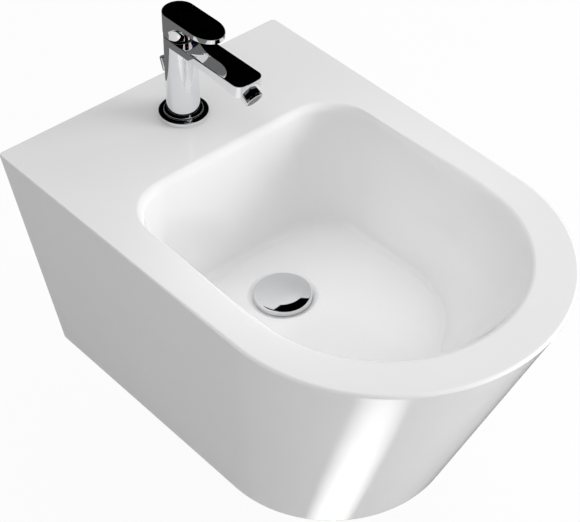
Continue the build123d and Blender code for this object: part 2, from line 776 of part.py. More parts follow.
# The lever: a long plate and a round hub in one piece, scooped out under the plate
hub_bottom = tap_height + lever_gap
plate_under = lever_top - lever_plate
with BuildPart() as lever:
    with BuildSketch(tap_plane.offset(hub_bottom)):
        with BuildLine():
            CenterArc((0, 0), lever_half_width, 0, 180)
            Line((lever_half_width, 0), (lever_half_width, -lever_front_centre))
            Line((-lever_half_width, 0), (-lever_half_width, -lever_front_centre))
            EllipticalCenterArc(
                (0, -lever_front_centre), lever_half_width, lever_front_reach, 180, arc_size=180
            )
        make_face()
    extrude(amount=lever_top - hub_bottom)
    chamfer(lever.faces().sort_by(Axis.Z)[-1].edges(), lever_bevel)
    # The scoop that frees the plate from the hub and flares the one into the other
    front_sweep = Axis((0, -tap_setback, deck), (0, 0, -1))
    scoop_far = lever_half_width + lever_front_centre + lever_front_reach
    flare_end = lever_half_width + hub_flare_reach
    with BuildSketch(tap_section):
        with BuildLine():
            Polyline(
                (flare_end, plate_under),
                (scoop_far, plate_under),
                (scoop_far, hub_bottom - 1),
                (lever_half_width, hub_bottom - 1),
                (lever_half_width, hub_flare_start),
            )
            flare_rise = plate_under - hub_flare_start
            flare_middle = (flare_end, hub_flare_start)
            EllipticalCenterArc(flare_middle, hub_flare_reach, flare_rise, 90, arc_size=90)
        make_face()
    revolve(axis=front_sweep, revolution_arc=180, mode=Mode.SUBTRACT)
    # The underside rises towards the back by the angle that the lever tilts
    rise = 2 * lever_half_width * tan(radians(lever_tilt_limit))
    wedge = [(0, hub_bottom), (2 * lever_half_width, hub_bottom), (2 * lever_half_width, hub_bottom + rise)]
    side_section = Plane((0, -tap_setback, deck), x_dir=(0, 1, 0), z_dir=(1, 0, 0))
    extrude(outline(wedge, side_section), amount=2 * lever_half_width, both=True, mode=Mode.SUBTRACT)
    # The hollow of the hub, round the boss that holds the spindle
    with BuildSketch(tap_plane.offset(hub_bottom - 1)):
        Circle(hub_bore_r)
    extrude(amount=hub_boss_bottom - hub_bottom + 1, mode=Mode.SUBTRACT)
    extrude(
        ring(tap_plane.offset(hub_boss_bottom), hub_bore_r, hub_boss_r),
        amount=hub_bore_top - hub_boss_bottom,
        mode=Mode.SUBTRACT,
    )
    with BuildSketch(tap_plane.offset(hub_boss_bottom - 1)):
        Rectangle(spindle_side + 2 * slip, spindle_side + 2 * slip)
    extrude(amount=spindle_top + running - hub_boss_bottom + 1, mode=Mode.SUBTRACT)
    # The hole of the fixing screw, from the back
    back_section = Plane((0, -tap_setback, deck), x_dir=(-1, 0, 0), z_dir=(0, 1, 0))
    with BuildSketch(back_section):
        with Locations((0, screw_height)):
            Circle(screw_d / 2 + thread_gap)
    extrude(amount=2 * lever_half_width, mode=Mode.SUBTRACT)
    # The sockets of the two temperature dots
    dot_angle = atan(index_dot_spacing / 2 / lever_half_width)
    dot_planes = []
    for side in (-1, 1):
        out = (side * sin(dot_angle), -cos(dot_angle), 0)
        dot_x = out[0] * lever_half_width
        dot_y = out[1] * lever_half_width - tap_setback
        dot_planes.append(Plane((dot_x, dot_y, deck + index_dot_height), z_dir=out))
    for plane in dot_planes:
        with BuildSketch(plane.offset(-index_dot_depth)):
            Circle(index_dot_d / 2 + face_gap / 2)
        extrude(amount=2 * index_dot_depth, mode=Mode.SUBTRACT)

with BuildPart() as lever_screw:
    screw_start = spindle_side / 2 + face_gap
    with BuildSketch(back_section.offset(screw_start)):
        with Locations((0, screw_height)):
            Circle(screw_d / 2)
    extrude(amount=screw_length)
    with BuildSketch(back_section.offset(screw_start + screw_length / 2)):
        with Locations((0, screw_height)):
            RegularPolygon(screw_key / 2, 6, major_radius=False)
    extrude(amount=screw_length, mode=Mode.SUBTRACT)

# The enamelled dots that mark hot and cold on the front of the hub
with BuildPart() as index_dot_hot:
    with BuildSketch(dot_planes[0].offset(-index_dot_depth + face_gap)):
        Circle(index_dot_d / 2)
    extrude(amount=index_dot_depth)

with BuildPart() as index_dot_cold:
    with BuildSketch(dot_planes[1].offset(-index_dot_depth + face_gap)):
        Circle(index_dot_d / 2)
    extrude(amount=index_dot_depth)

# The nozzle: a ball and a six-sided barrel in one piece, drilled through for the water
with BuildPart() as nozzle_barrel:
    with Locations(nozzle_plane):
        Sphere(nozzle_ball_r)
    with BuildSketch(nozzle_plane):
        Circle(nozzle_neck_r)
    extrude(amount=nozzle_barrel_start + 1)
    barrel = [
        (0, nozzle_barrel_start),
        (nozzle_barrel_r - nozzle_rear_chamfer, nozzle_barrel_start),
        (nozzle_barrel_r, nozzle_barrel_start + nozzle_rear_chamfer),
        (nozzle_barrel_r, nozzle_barrel_end),
        (0, nozzle_barrel_end),
    ]
    revolve(outline(barrel, nozzle_section), axis=nozzle_axis)
    with BuildSketch(nozzle_plane.offset(nozzle_barrel_start)):
        Circle(nozzle_barrel_r + 2)
        RegularPolygon(
            nozzle_flats / 2, 6, major_radius=False, rotation=nozzle_flats_turn, mode=Mode.SUBTRACT
        )
    extrude(amount=nozzle_barrel_end - nozzle_end_ring - nozzle_barrel_start, mode=Mode.SUBTRACT)
    with BuildSketch(nozzle_plane.offset(-nozzle_ball_r - 1)):
        Circle(nozzle_water_r)
    extrude(amount=nozzle_ball_r + nozzle_barrel_end + 1, mode=Mode.SUBTRACT)
    with BuildSketch(nozzle_plane.offset(nozzle_barrel_end - aerator_depth)):
        Circle(aerator_r + slip)
    extrude(amount=aerator_depth + 1, mode=Mode.SUBTRACT)

# The aerator: a cup with rings of small holes in its face
with BuildPart() as aerator:
    with BuildSketch(nozzle_plane.offset(nozzle_barrel_end - aerator_depth + face_gap)):
        Circle(aerator_r)
    extrude(amount=aerator_depth - aerator_recess - face_gap)
    with BuildSketch(nozzle_plane.offset(nozzle_barrel_end - aerator_depth)):
        Circle(aerator_r - aerator_skirt)
    extrude(amount=aerator_depth - aerator_recess - aerator_face, mode=Mode.SUBTRACT)
    with BuildSketch(nozzle_plane.offset(nozzle_barrel_end - aerator_depth)):
        Circle(aerator_hole_d / 2)
        for ring_r, count in aerator_ring_holes:
            with PolarLocations(ring_r, count):
                Circle(aerator_hole_d / 2)
    extrude(amount=aerator_depth, mode=Mode.SUBTRACT)

# The plastic seat ring between the ball and its socket: it follows one swing of the two
with BuildPart() as nozzle_seat:
    with Locations(nozzle_plane):
        Sphere(nozzle_ball_r + face_gap + seat_ring_wall)
        Sphere(nozzle_ball_r + face_gap, mode=Mode.SUBTRACT)
    split(bisect_by=nozzle_plane.offset(seat_ring_half), keep=Keep.BOTTOM)
    split(bisect_by=nozzle_plane.offset(-seat_ring_half), keep=Keep.TOP)

seat_outer_r = nozzle_ball_r + face_gap + seat_ring_wall
with BuildPart() as nozzle_retainer:
    retainer = ring(nozzle_plane.offset(retainer_back), socket_r - thread_gap, nozzle_neck_r)
    extrude(retainer, amount=retainer_front - retainer_back)
    with Locations(nozzle_plane):
        Sphere(seat_outer_r + face_gap, mode=Mode.SUBTRACT)

with BuildPart() as nozzle_oring:
    with Locations(nozzle_plane.offset(-socket_shoulder + oring_section_r)):
        Torus(oring_r, oring_section_r)

# The pull rod with its knob, leaning back through the foot of the tap
knob_start = lift_rod_knob_height / lean_c
with BuildPart() as lift_rod:
    rod_end = eye_along_rod + clamp_rod_end
    with BuildSketch(lift_plane.offset(rod_end)):
        Circle(lift_rod_d / 2)
    extrude(amount=knob_start + lift_knob_length / 2 - rod_end)

with BuildPart() as lift_knob:
    with BuildSketch(lift_plane.offset(knob_start)):
        Circle(lift_knob_d / 2)
    extrude(amount=lift_knob_length)
    fillet(lift_knob.edges(), lift_knob_round)
    with BuildSketch(lift_plane.offset(knob_start)):
        Circle(lift_rod_d / 2 + slip)
    extrude(amount=lift_knob_length / 2 + slip, mode=Mode.SUBTRACT)

# The clamp at the foot of the pull rod, with the eye that the pivot rod passes through
eye_rest = (0, -eye_mid_setback + half_shift, port_height + half_rise)
clamp_plane = Plane(eye_rest, x_dir=(1, 0, 0), z_dir=(0, lean_s, lean_c))
with BuildPart() as rod_clamp:
    with BuildSketch(clamp_plane.offset(-clamp_below_eye)):
        RectangleRounded(clamp_side, clamp_side, clamp_corner)
    extrude(amount=clamp_height)
    with BuildSketch(clamp_plane.offset(clamp_rod_end - slip)):
        Circle(lift_rod_d / 2 + slip)
    extrude(amount=clamp_height, mode=Mode.SUBTRACT)
    with BuildSketch(Plane(eye_rest, x_dir=(1, 0, 0), z_dir=(0, 1, 0))):
        Circle(pivot_rod_d / 2 + clamp_eye_play)
    extrude(amount=clamp_side, both=True, mode=Mode.SUBTRACT)
    screw_plane = Plane(clamp_plane.offset(clamp_screw_height).origin, x_dir=(0, 1, 0), z_dir=(1, 0, 0))
    with BuildSketch(screw_plane):
        Circle(clamp_screw_d / 2 + thread_gap)
    extrude(amount=clamp_side, mode=Mode.SUBTRACT)

with BuildPart() as clamp_screw:
    with BuildSketch(screw_plane.offset(lift_rod_d / 2 + face_gap)):
        Circle(clamp_screw_d / 2)
    extrude(amount=clamp_side / 2 - lift_rod_d / 2)
    with BuildSketch(screw_plane.offset(clamp_side / 2 + face_gap)):
        Circle(clamp_screw_head / 2)
    extrude(amount=clamp_screw_d)

# The waste flange, its guide spider and the seal under it
flange_bottom = flange_seal_thickness - drain_seat_depth
flange_top = flange_bottom + waste_flange_thickness
with BuildPart() as flange_seal:
    seal_plane = drain_plane.offset(-drain_seat_depth)
    seal_ring = ring(seal_plane, waste_flange_r, waste_flange_r - flange_seal_width)
    extrude(seal_ring, amount=flange_seal_thickness)

with BuildPart() as waste_flange:
    flange = [
        (neck_bore_r, flange_top),
        (waste_flange_r, flange_top),
        (waste_flange_r, flange_bottom),
        (neck_r, flange_bottom),
        (neck_r, flange_bottom - neck_length),
        (neck_bore_r, flange_bottom - neck_length),
    ]
    revolve(outline(flange, drain_section), axis=drain_axis)
    with BuildSketch(drain_plane.offset(flange_bottom - guide_drop - guide_bar)):
        Rectangle(2 * neck_bore_r + 1, guide_bar)
        Rectangle(guide_bar, 2 * neck_bore_r + 1)
        Circle(guide_boss_r)
        Circle(stem_r + running, mode=Mode.SUBTRACT)
    extrude(amount=guide_bar)

# The waste body: a threaded tube with a side port for the pivot rod
boss_bottom = -bowl_wall - drain_boss_height
body_bottom = -port_drop - waste_body_below_port
body_bore = neck_r + thread_gap
tail_bore = tail_neck_r + slip
with BuildPart() as waste_body:
    tube = [
        (0, flange_bottom - face_gap),
        (waste_body_r, flange_bottom - face_gap),
        (waste_body_r, body_bottom),
        (0, body_bottom),
    ]
    revolve(outline(tube, drain_section), axis=drain_axis)
    axis_to_port = Plane((0, -drain_setback, port_height), x_dir=(1, 0, 0), z_dir=(0, 1, 0))
    with BuildSketch(axis_to_port):
        Circle(port_r)
    extrude(amount=port_reach)
    bore = [
        (0, flange_bottom + 1),
        (body_bore, flange_bottom + 1),
        (body_bore, body_bottom + tail_overlap),
        (tail_bore, body_bottom + tail_overlap),
        (tail_bore, body_bottom - 1),
        (0, body_bottom - 1),
    ]
    revolve(outline(bore, drain_section), axis=drain_axis, mode=Mode.SUBTRACT)
    with BuildSketch(axis_to_port):
        Circle(port_passage_r)
    extrude(amount=port_reach, mode=Mode.SUBTRACT)
    seat_back = pivot_ball_reach - pivot_seat_start - pivot_seat_length
    with BuildSketch(axis_to_port.offset(seat_back)):
        Circle(port_bore_r)
    extrude(amount=port_reach, mode=Mode.SUBTRACT)

with BuildPart() as waste_gasket:
    gasket_plane = drain_plane.offset(boss_bottom - waste_gasket_thickness)
    extrude(ring(gasket_plane, waste_gasket_r, waste_body_r + slip), amount=waste_gasket_thickness)

with BuildPart() as waste_nut:
    with BuildSketch(gasket_plane.offset(-waste_nut_height)):
        Circle(waste_nut_r)
        with PolarLocations(waste_nut_r, waste_nut_lugs):
            Rectangle(waste_nut_height / 2, waste_nut_height)
        Circle(waste_body_r + thread_gap, mode=Mode.SUBTRACT)
    extrude(amount=waste_nut_height)

# The tailpiece: a thin tube with a narrower neck that slips up into the waste body
with BuildPart() as tailpiece:
    tail_top = body_bottom + tail_overlap - face_gap
    tail_bottom = foot + tail_above_foot - bowl_floor
    tail_shoulder = body_bottom - tail_shoulder_drop
    tube = [
        (tail_r - tail_wall, tail_top),
        (tail_neck_r, tail_top),
        (tail_neck_r, tail_shoulder),
        (tail_r, tail_shoulder),
        (tail_r, tail_bottom),
        (tail_r - tail_wall, tail_bottom),
    ]
    revolve(outline(tube, drain_section), axis=drain_axis)

# The ball seats in the port and the nut that closes on them
port_end = port_reach - pivot_ball_reach


def ball_seat(start, length):
    """A ring in the port with a hollow that fits the pivot ball, measured from the ball."""
    with BuildPart() as seat:
        extrude(ring(port_plane.offset(start), port_bore_r - thread_gap, pivot_seat_bore_r), amount=length)
        with Locations(port_plane):
            Sphere(pivot_ball_r + face_gap, mode=Mode.SUBTRACT)
    return seat


pivot_seat = ball_seat(-pivot_seat_start - pivot_seat_length, pivot_seat_length)
pivot_gasket = ball_seat(pivot_seat_start, port_end - pivot_seat_start)

with BuildPart() as pivot_nut:
    with BuildSketch(port_plane.offset(port_end - pivot_nut_cover)):
        RegularPolygon(pivot_nut_r, pivot_nut_sides)
        Circle(port_r + thread_gap, mode=Mode.SUBTRACT)
    extrude(amount=pivot_nut_cover)
    with BuildSketch(port_plane.offset(port_end)):
        RegularPolygon(pivot_nut_r, pivot_nut_sides)
        Circle(pivot_nut_hole_r, mode=Mode.SUBTRACT)
    extrude(amount=pivot_nut_wall)

# The pivot rod: its ball in the port, one end in the plug's stem, the other in the clamp
inner_length = pivot_ball_reach / cos(rest_angle) + pivot_rod_past_stem
outer_length = (outer_arm + half_shift) / cos(rest_angle) + pivot_rod_past_lift
with BuildPart() as pivot_rod:
    with BuildSketch(pivot_plane.offset(-inner_length)):
        Circle(pivot_rod_d / 2)
    extrude(amount=inner_length + outer_length)
    chamfer(pivot_rod.edges(), pivot_rod_chamfer)
    with Locations(pivot_plane):
        Sphere(pivot_ball_r)

# The plug: a domed cap, its rubber seal and the stem with the eye for the pivot rod
with BuildPart() as plug_cap:
    skirt_inner = cap_r - cap_skirt
    shoulder = cap_rise - cap_dome
    socket_top = cap_underside + stem_in_cap
    groove_top = cap_underside + plug_seal_groove
    with BuildSketch(drain_section):
        with BuildLine():
            Polyline(
                (0, cap_rise),
                (0, socket_top),
                (stem_r + thread_gap, socket_top),
                (stem_r + thread_gap, cap_underside),
                (plug_seal_r - plug_seal_width - slip, cap_underside),
                (plug_seal_r - plug_seal_width - slip, groove_top),
                (plug_seal_r + slip, groove_top),
                (plug_seal_r + slip, cap_underside),
                (skirt_inner, cap_underside),
                (skirt_inner, -cap_skirt_drop),
                (cap_r, -cap_skirt_drop),
                (cap_r, shoulder),
            )
            ThreePointArc((cap_r, shoulder), (cap_r / 2, cap_rise - cap_dome / 4), (0, cap_rise))
        make_face()
    revolve(axis=drain_axis)
    shoulder_z = bowl_floor + shoulder
    shoulder_edge = plug_cap.edges().filter_by(lambda e: abs(e.center().Z - shoulder_z) < face_gap)
    fillet(shoulder_edge.filter_by(GeomType.CIRCLE), cap_edge_round)

with BuildPart() as plug_seal:
    seal_low = flange_top + face_gap
    seal_ring = ring(drain_plane.offset(seal_low), plug_seal_r, plug_seal_r - plug_seal_width)
    extrude(seal_ring, amount=cap_underside + plug_seal_groove - seal_low)

with BuildPart() as plug_stem:
    eye_plane = Plane((0, -drain_setback, stem_eye_height))
    stem_top = bowl_floor + cap_underside + stem_in_cap
    with BuildSketch(eye_plane):
        Circle(stem_r)
    extrude(amount=stem_top - stem_eye_height)
    with BuildSketch(eye_plane.offset(-stem_tip)):
        RectangleRounded(stem_eye_width, stem_eye_thickness, 1)
    extrude(amount=2 * stem_tip + 1)
    with BuildSketch(Plane(eye_plane.origin, x_dir=(1, 0, 0), z_dir=(0, 1, 0))):
        Circle(pivot_rod_d / 2 + stem_eye_play)
    extrude(amount=2 * stem_r, both=True, mode=Mode.SUBTRACT)

pieces = {
    "bidet_deck": bidet_deck,
    "bidet_bowl": bidet_bowl,
    "bidet_bowl_floor": bidet_bowl_floor,
    "bidet_skirt": bidet_skirt,
    "bidet_back": bidet_back,
    "bidet_foot": bidet_foot,
    "fixing_bush_left": fixing_bush_left,
    "fixing_bush_right": fixing_bush_right,
    "tap_body": tap_body,
    "base_flange": base_flange,
    "base_seal": base_seal,
    "mounting_gasket": mounting_gasket,
    "mounting_washer": mounting_washer,
    "mounting_nut": mounting_nut,
    "mounting_stud": mounting_stud,
    "cartridge_cup": cartridge_cup,
    "fixed_disc": fixed_disc,
    "moving_disc": moving_disc,
    "cartridge_rotor": cartridge_rotor,
    "spindle_pin": spindle_pin,
    "lever_spindle": lever_spindle,
    "cartridge_nut": cartridge_nut,
    "lever": lever,
    "lever_screw": lever_screw,
    "index_dot_hot": index_dot_hot,
    "index_dot_cold": index_dot_cold,
    "nozzle_barrel": nozzle_barrel,
    "aerator": aerator,
    "nozzle_seat": nozzle_seat,
    "nozzle_retainer": nozzle_retainer,
    "nozzle_oring": nozzle_oring,
    "lift_rod": lift_rod,
    "lift_knob": lift_knob,
    "rod_clamp": rod_clamp,
    "clamp_screw": clamp_screw,
    "waste_flange": waste_flange,
    "flange_seal": flange_seal,
    "waste_body": waste_body,
    "waste_gasket": waste_gasket,
    "waste_nut": waste_nut,
    "tailpiece": tailpiece,
    "pivot_seat": pivot_seat,
    "pivot_gasket": pivot_gasket,
    "pivot_nut": pivot_nut,
    "pivot_rod": pivot_rod,
    "plug_cap": plug_cap,
    "plug_seal": plug_seal,
    "plug_stem": plug_stem,
}
for name, piece in pieces.items():
    piece.part.label = name
    export_step(piece.part, f"parts/{name}.step")
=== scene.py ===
# %% [markdown]
# A wall-hung bidet with a single-lever mixer tap and a pop-up waste, dressed for rendering.
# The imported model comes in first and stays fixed: it says where every piece is and what moves.
# Everything after that is shape and finish, built in the same frame and in metres.

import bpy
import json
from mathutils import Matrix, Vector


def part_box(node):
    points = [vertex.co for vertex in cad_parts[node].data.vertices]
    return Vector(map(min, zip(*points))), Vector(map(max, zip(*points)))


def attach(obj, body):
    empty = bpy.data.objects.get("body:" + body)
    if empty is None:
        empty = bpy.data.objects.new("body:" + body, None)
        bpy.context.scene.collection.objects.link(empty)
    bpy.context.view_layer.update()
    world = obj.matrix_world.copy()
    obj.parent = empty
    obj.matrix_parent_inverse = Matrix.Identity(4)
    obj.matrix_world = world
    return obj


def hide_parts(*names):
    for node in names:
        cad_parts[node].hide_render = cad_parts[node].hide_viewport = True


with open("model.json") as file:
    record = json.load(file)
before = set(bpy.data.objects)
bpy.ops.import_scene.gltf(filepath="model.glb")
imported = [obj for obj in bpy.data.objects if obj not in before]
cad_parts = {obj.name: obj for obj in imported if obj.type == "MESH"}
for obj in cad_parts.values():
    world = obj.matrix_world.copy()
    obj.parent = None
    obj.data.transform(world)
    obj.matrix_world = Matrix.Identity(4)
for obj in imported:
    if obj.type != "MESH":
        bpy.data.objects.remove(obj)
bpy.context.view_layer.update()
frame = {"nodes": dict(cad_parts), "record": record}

# %% [markdown]
# The rest of the script needs numbers, meshes and rotations. The made pieces have to sit where
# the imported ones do, so the deck, the foot, the tap's axis and the drain are measured from them.
# Heights on the tap are easier to think of from the deck.

# %% Common measures
import json
import math

import bmesh
import bpy
from mathutils import Matrix, Vector


def middle_y(node):
    """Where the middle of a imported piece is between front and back, to a tenth of a millimetre."""
    low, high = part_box(node)
    return round((low.y + high.y) / 2, 4)


MM = 0.001
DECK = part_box("bidet_deck")[1].z
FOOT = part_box("bidet_foot")[0].z
TAP_Y = middle_y("base_flange")
DRAIN_Y = middle_y("plug_cap")
# In millimetres: the deck's height, and the depth of the foot and of the bowl's floor below it
DECK_MM = DECK / MM
RISE = round((DECK - FOOT) / MM, 1)
BOWL = 146.0
FLOOR = DECK - BOWL * MM
print("deck at", round(DECK, 4), "rise", RISE, "tap at", TAP_Y, "drain at", DRAIN_Y)

# %% [markdown]
# Turned and cast pieces all come down to rows of points. A column is a path of corners from one
# end of a section to the other, and each corner may have a radius. Rounding the corner in the
# points themselves gives a true arc that catches the light, where a sharp edge would not.

# %% Rounded corners
NO_LENGTH = 1e-7
STRAIGHT = math.radians(179.5)
FOLDED = math.radians(1)
# An arc takes at most this share of the edges beside it
EDGE_SHARE = 0.49


def arc_at(corner, before, after, radius, steps):
    """The points of an arc that replaces a corner, or the corner itself as many times."""
    back, ahead = before - corner, after - corner
    if min(back.length, ahead.length) < NO_LENGTH:
        return [corner] * (steps + 1)
    angle = back.angle(ahead)
    if angle > STRAIGHT or angle < FOLDED:
        return [corner] * (steps + 1)
    longest = EDGE_SHARE * min(back.length, ahead.length)
    reach = min(radius / math.tan(angle / 2), longest)
    bow = reach * math.tan(angle / 2)
    middle = (back.normalized() + ahead.normalized()).normalized()
    centre = corner + middle * (bow / math.sin(angle / 2))
    first = (corner + back.normalized() * reach - centre).normalized()
    last = (corner + ahead.normalized() * reach - centre).normalized()
    side = (last - first * first.dot(last)).normalized()
    turns = [(math.pi - angle) * k / steps for k in range(steps + 1)]
    return [centre + (first * math.cos(a) + side * math.sin(a)) * bow for a in turns]


def rounded(path, radii, steps=6):
    """Rounds each corner of a path that has a radius, always with the same count of points."""
    corners = [Vector(point) for point in path]
    out = []
    for i, (corner, radius) in enumerate(zip(corners, radii)):
        if radius is None or i in (0, len(corners) - 1):
            out.append(corner)
        else:
            out.extend(arc_at(corner, corners[i - 1], corners[i + 1], radius, steps))
    return out


# %% [markdown]
# The columns then stand side by side and are joined by faces. Where many columns end in one
# point, as in the middle of a dome, the points are merged, so the mesh stays clean and closed.

# %% Grids of points
MERGE = 2e-6


def tidy_mesh(mesh):
    """Joins points that fell together, drops what they left behind, and turns faces outwards."""
    work = bmesh.new()
    work.from_mesh(mesh)
    bmesh.ops.remove_doubles(work, verts=work.verts, dist=MERGE)
    bmesh.ops.dissolve_degenerate(work, edges=work.edges, dist=MERGE)
    bmesh.ops.recalc_face_normals(work, faces=work.faces)
    work.to_mesh(mesh)
    work.free()


def grid_mesh(name, columns, along=False, caps=()):
    """A mesh from a ring of columns of points. Each column may also close on itself."""
    rows = len(columns[0])
    points = [p for column in columns for p in column]
    faces = []
    for i in range(len(columns)):
        j = (i + 1) % len(columns)
        for k in range(rows if along else rows - 1):
            m = (k + 1) % rows
            faces.append((i * rows + k, j * rows + k, j * rows + m, i * rows + m))
    for row in caps:
        faces.append([i * rows + row % rows for i in range(len(columns))])
    mesh = bpy.data.meshes.new(name)
    mesh.from_pydata(points, [], faces)
    tidy_mesh(mesh)
    return mesh


# %% [markdown]
# Every made piece needs the same care at the end: smooth faces, flat faces kept flat, a finish,
# a body to ride on and the CAD node that it stands for. One function does this, so no piece can
# miss a step. Weighted normals let the large flat faces win over the narrow roundings.

# %% Finishing a piece
FLAT_FACE_WEIGHT = 90


def add_piece(name, mesh, finish, body, stands_for, crease=32):
    """Puts a mesh in the scene as a finished piece that rides on a body."""
    piece = bpy.data.objects.new(name, mesh)
    bpy.context.scene.collection.objects.link(piece)
    for polygon in mesh.polygons:
        polygon.use_smooth = True
    mesh.set_sharp_from_angle(angle=math.radians(crease))
    weigh = piece.modifiers.new("weighted_normals", "WEIGHTED_NORMAL")
    weigh.keep_sharp = True
    weigh.weight = FLAT_FACE_WEIGHT
    mesh.materials.clear()
    mesh.materials.append(finish)
    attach(piece, body)
    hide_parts(*stands_for)
    print(name, len(mesh.polygons), "faces")


# %% [markdown]
# The casting has openings and the tap has bores, and each is easiest to think of as a solid that
# is taken away. An exact boolean does that. Its result becomes the mesh itself, so the finished
# piece carries no modifier that would change it again later.

# %% Joining and cutting
def combine(mesh, tools):
    """Joins others to a mesh or cuts them from it, in the order given."""
    target = bpy.data.objects.new("work", mesh)
    bpy.context.scene.collection.objects.link(target)
    helpers = []
    for operation, tool in tools:
        helper = bpy.data.objects.new("tool", tool)
        bpy.context.scene.collection.objects.link(helper)
        helpers.append(helper)
        step = target.modifiers.new("step", "BOOLEAN")
        step.operation = operation
        step.object = helper
        step.solver = "EXACT"
    bpy.context.view_layer.update()
    shaped = target.evaluated_get(bpy.context.evaluated_depsgraph_get())
    result = bpy.data.meshes.new_from_object(shaped)
    for spare in [target, *helpers]:
        bpy.data.objects.remove(spare)
    tidy_mesh(result)
    return result


# %% [markdown]
# Turned pieces are the simplest columns of all: one section, turned about an axis. The axis is
# given as a placing matrix whose Z runs along it, because the nozzle and the pull rod lean.

# %% Turning a section
def placing(origin, axis=(0, 0, 1), side=(1, 0, 0)):
    """A matrix whose Z is the axis and whose X is the side."""
    z = Vector(axis).normalized()
    x = Vector(side).normalized()
    y = z.cross(x)
    place = Matrix((x, y, z)).transposed().to_4x4()
    place.translation = Vector(origin)
    return place


def scaled(radii):
    """Corner radii in metres, where a corner may have none."""
    return [None if radius is None else radius * MM for radius in radii]


def turned(name, place, section, radii, turns=96):
    """Turns a section of (radius, height) corners, in millimetres, about the placing's Z."""
    corners = [(r * MM, 0, h * MM) for r, h in section]
    line = rounded(corners, scaled(radii))
    columns = []
    for i in range(turns):
        spin = Matrix.Rotation(2 * math.pi * i / turns, 4, "Z")
        columns.append([place @ (spin @ p) for p in line])
    return grid_mesh(name, columns)


# %% [markdown]
# Shader maths reads best as plain expressions. A small class wraps one output socket, so that
# `1 - mask` or `noise * 0.2` adds the Math node for it. Every other node comes from one method.

# %% Shader expressions
class Value:
    """One output socket of a shader tree, which can be used in arithmetic."""

    def __init__(self, board, socket):
        self.board = board
        self.socket = socket

    def _math(self, operation, first, second):
        return self.board.add("ShaderNodeMath", {"operation": operation}, {0: first, 1: second})

    def __add__(self, other):
        return self._math("ADD", self, other)

    def __sub__(self, other):
        return self._math("SUBTRACT", self, other)

    def __mul__(self, other):
        return self._math("MULTIPLY", self, other)

    def __rsub__(self, other):
        return self._math("SUBTRACT", other, self)

    def clamp(self, low, high):
        """The value mapped from low..high to 0..1 and held there."""
        span = {"Value": self, "From Min": low, "From Max": high}
        return self.board.add("ShaderNodeMapRange", {"clamp": True}, span)

    __radd__ = __add__
    __rmul__ = __mul__


class Board:
    """A node tree being built, for a material or for the world."""

    def __init__(self, owner):
        owner.use_nodes = True
        self.tree = owner.node_tree
        self.tree.nodes.clear()

    def add(self, kind, settings=None, inputs=None, output=0):
        """One node: its settings first, then its inputs, and its output as a value."""
        node = self.tree.nodes.new(kind)
        for key, setting in (settings or {}).items():
            setattr(node, key, setting)
        for key, given in (inputs or {}).items():
            if isinstance(given, Value):
                self.tree.links.new(given.socket, node.inputs[key])
            else:
                node.inputs[key].default_value = given
        return Value(self, node.outputs[output]) if node.outputs else None

    def coordinates(self):
        """Places on the surface in metres, the same at every pose."""
        return self.add("ShaderNodeTexCoord", output="Object")

    def noise(self, scale, detail):
        """A noise over the surface, mostly between 0.3 and 0.7."""
        inputs = {"Vector": self.coordinates(), "Scale": scale, "Detail": detail}
        return self.add("ShaderNodeTexNoise", None, inputs)


def grey(level):
    """An opaque grey for a colour socket."""
    return (level, level, level, 1.0)


def finish_of(name, colour, roughness, metallic=0.0, bump=None, **sockets):
    """A material whose colour and roughness may drift and whose surface may have a relief."""
    material = bpy.data.materials.new(name)
    board = Board(material)
    inputs = {"Metallic": metallic}
    inputs["Roughness"] = roughness(board) if callable(roughness) else roughness
    inputs["Base Color"] = colour(board) if callable(colour) else colour
    if bump:
        scale, depth, detail = bump
        relief = {"Height": board.noise(scale, detail), "Strength": 1.0, "Distance": depth}
        inputs["Normal"] = board.add("ShaderNodeBump", None, relief)
    inputs.update({key.replace("_", " "): setting for key, setting in sockets.items()})
    shader = board.add("ShaderNodeBsdfPrincipled", None, inputs)
    board.add("ShaderNodeOutputMaterial", None, {"Surface": shader})
    return material


# %% [markdown]
# No real surface is perfectly even. Glaze has a faint swim from the kiln, chrome carries the
# smears of the last cloth, and rubber is dusty. Each finish therefore lets its roughness and its
# colour drift between two close levels with a noise, which costs little and reads as real.

# %% Drifting roughness and colour
# The detail of each noise, and the part of its range that spans the two levels
SMEARS, SMEAR_RANGE = 4.0, (0.35, 0.65)
CLOUDS, CLOUD_RANGE = 3.0, (0.3, 0.7)


def smudged(low, high, scale):
    """Roughness that drifts between two levels, as on a surface that has been wiped."""
    return lambda board: board.noise(scale, SMEARS).clamp(*SMEAR_RANGE) * (high - low) + low


def tinted(first, second, scale):
    """A colour that drifts between two tones."""
    def make(board):
        share = board.noise(scale, CLOUDS).clamp(*CLOUD_RANGE)
        tones = {"Factor": share, "A": first, "B": second}
        return board.add("ShaderNodeMix", {"data_type": "RGBA"}, tones, output="Result")
    return make
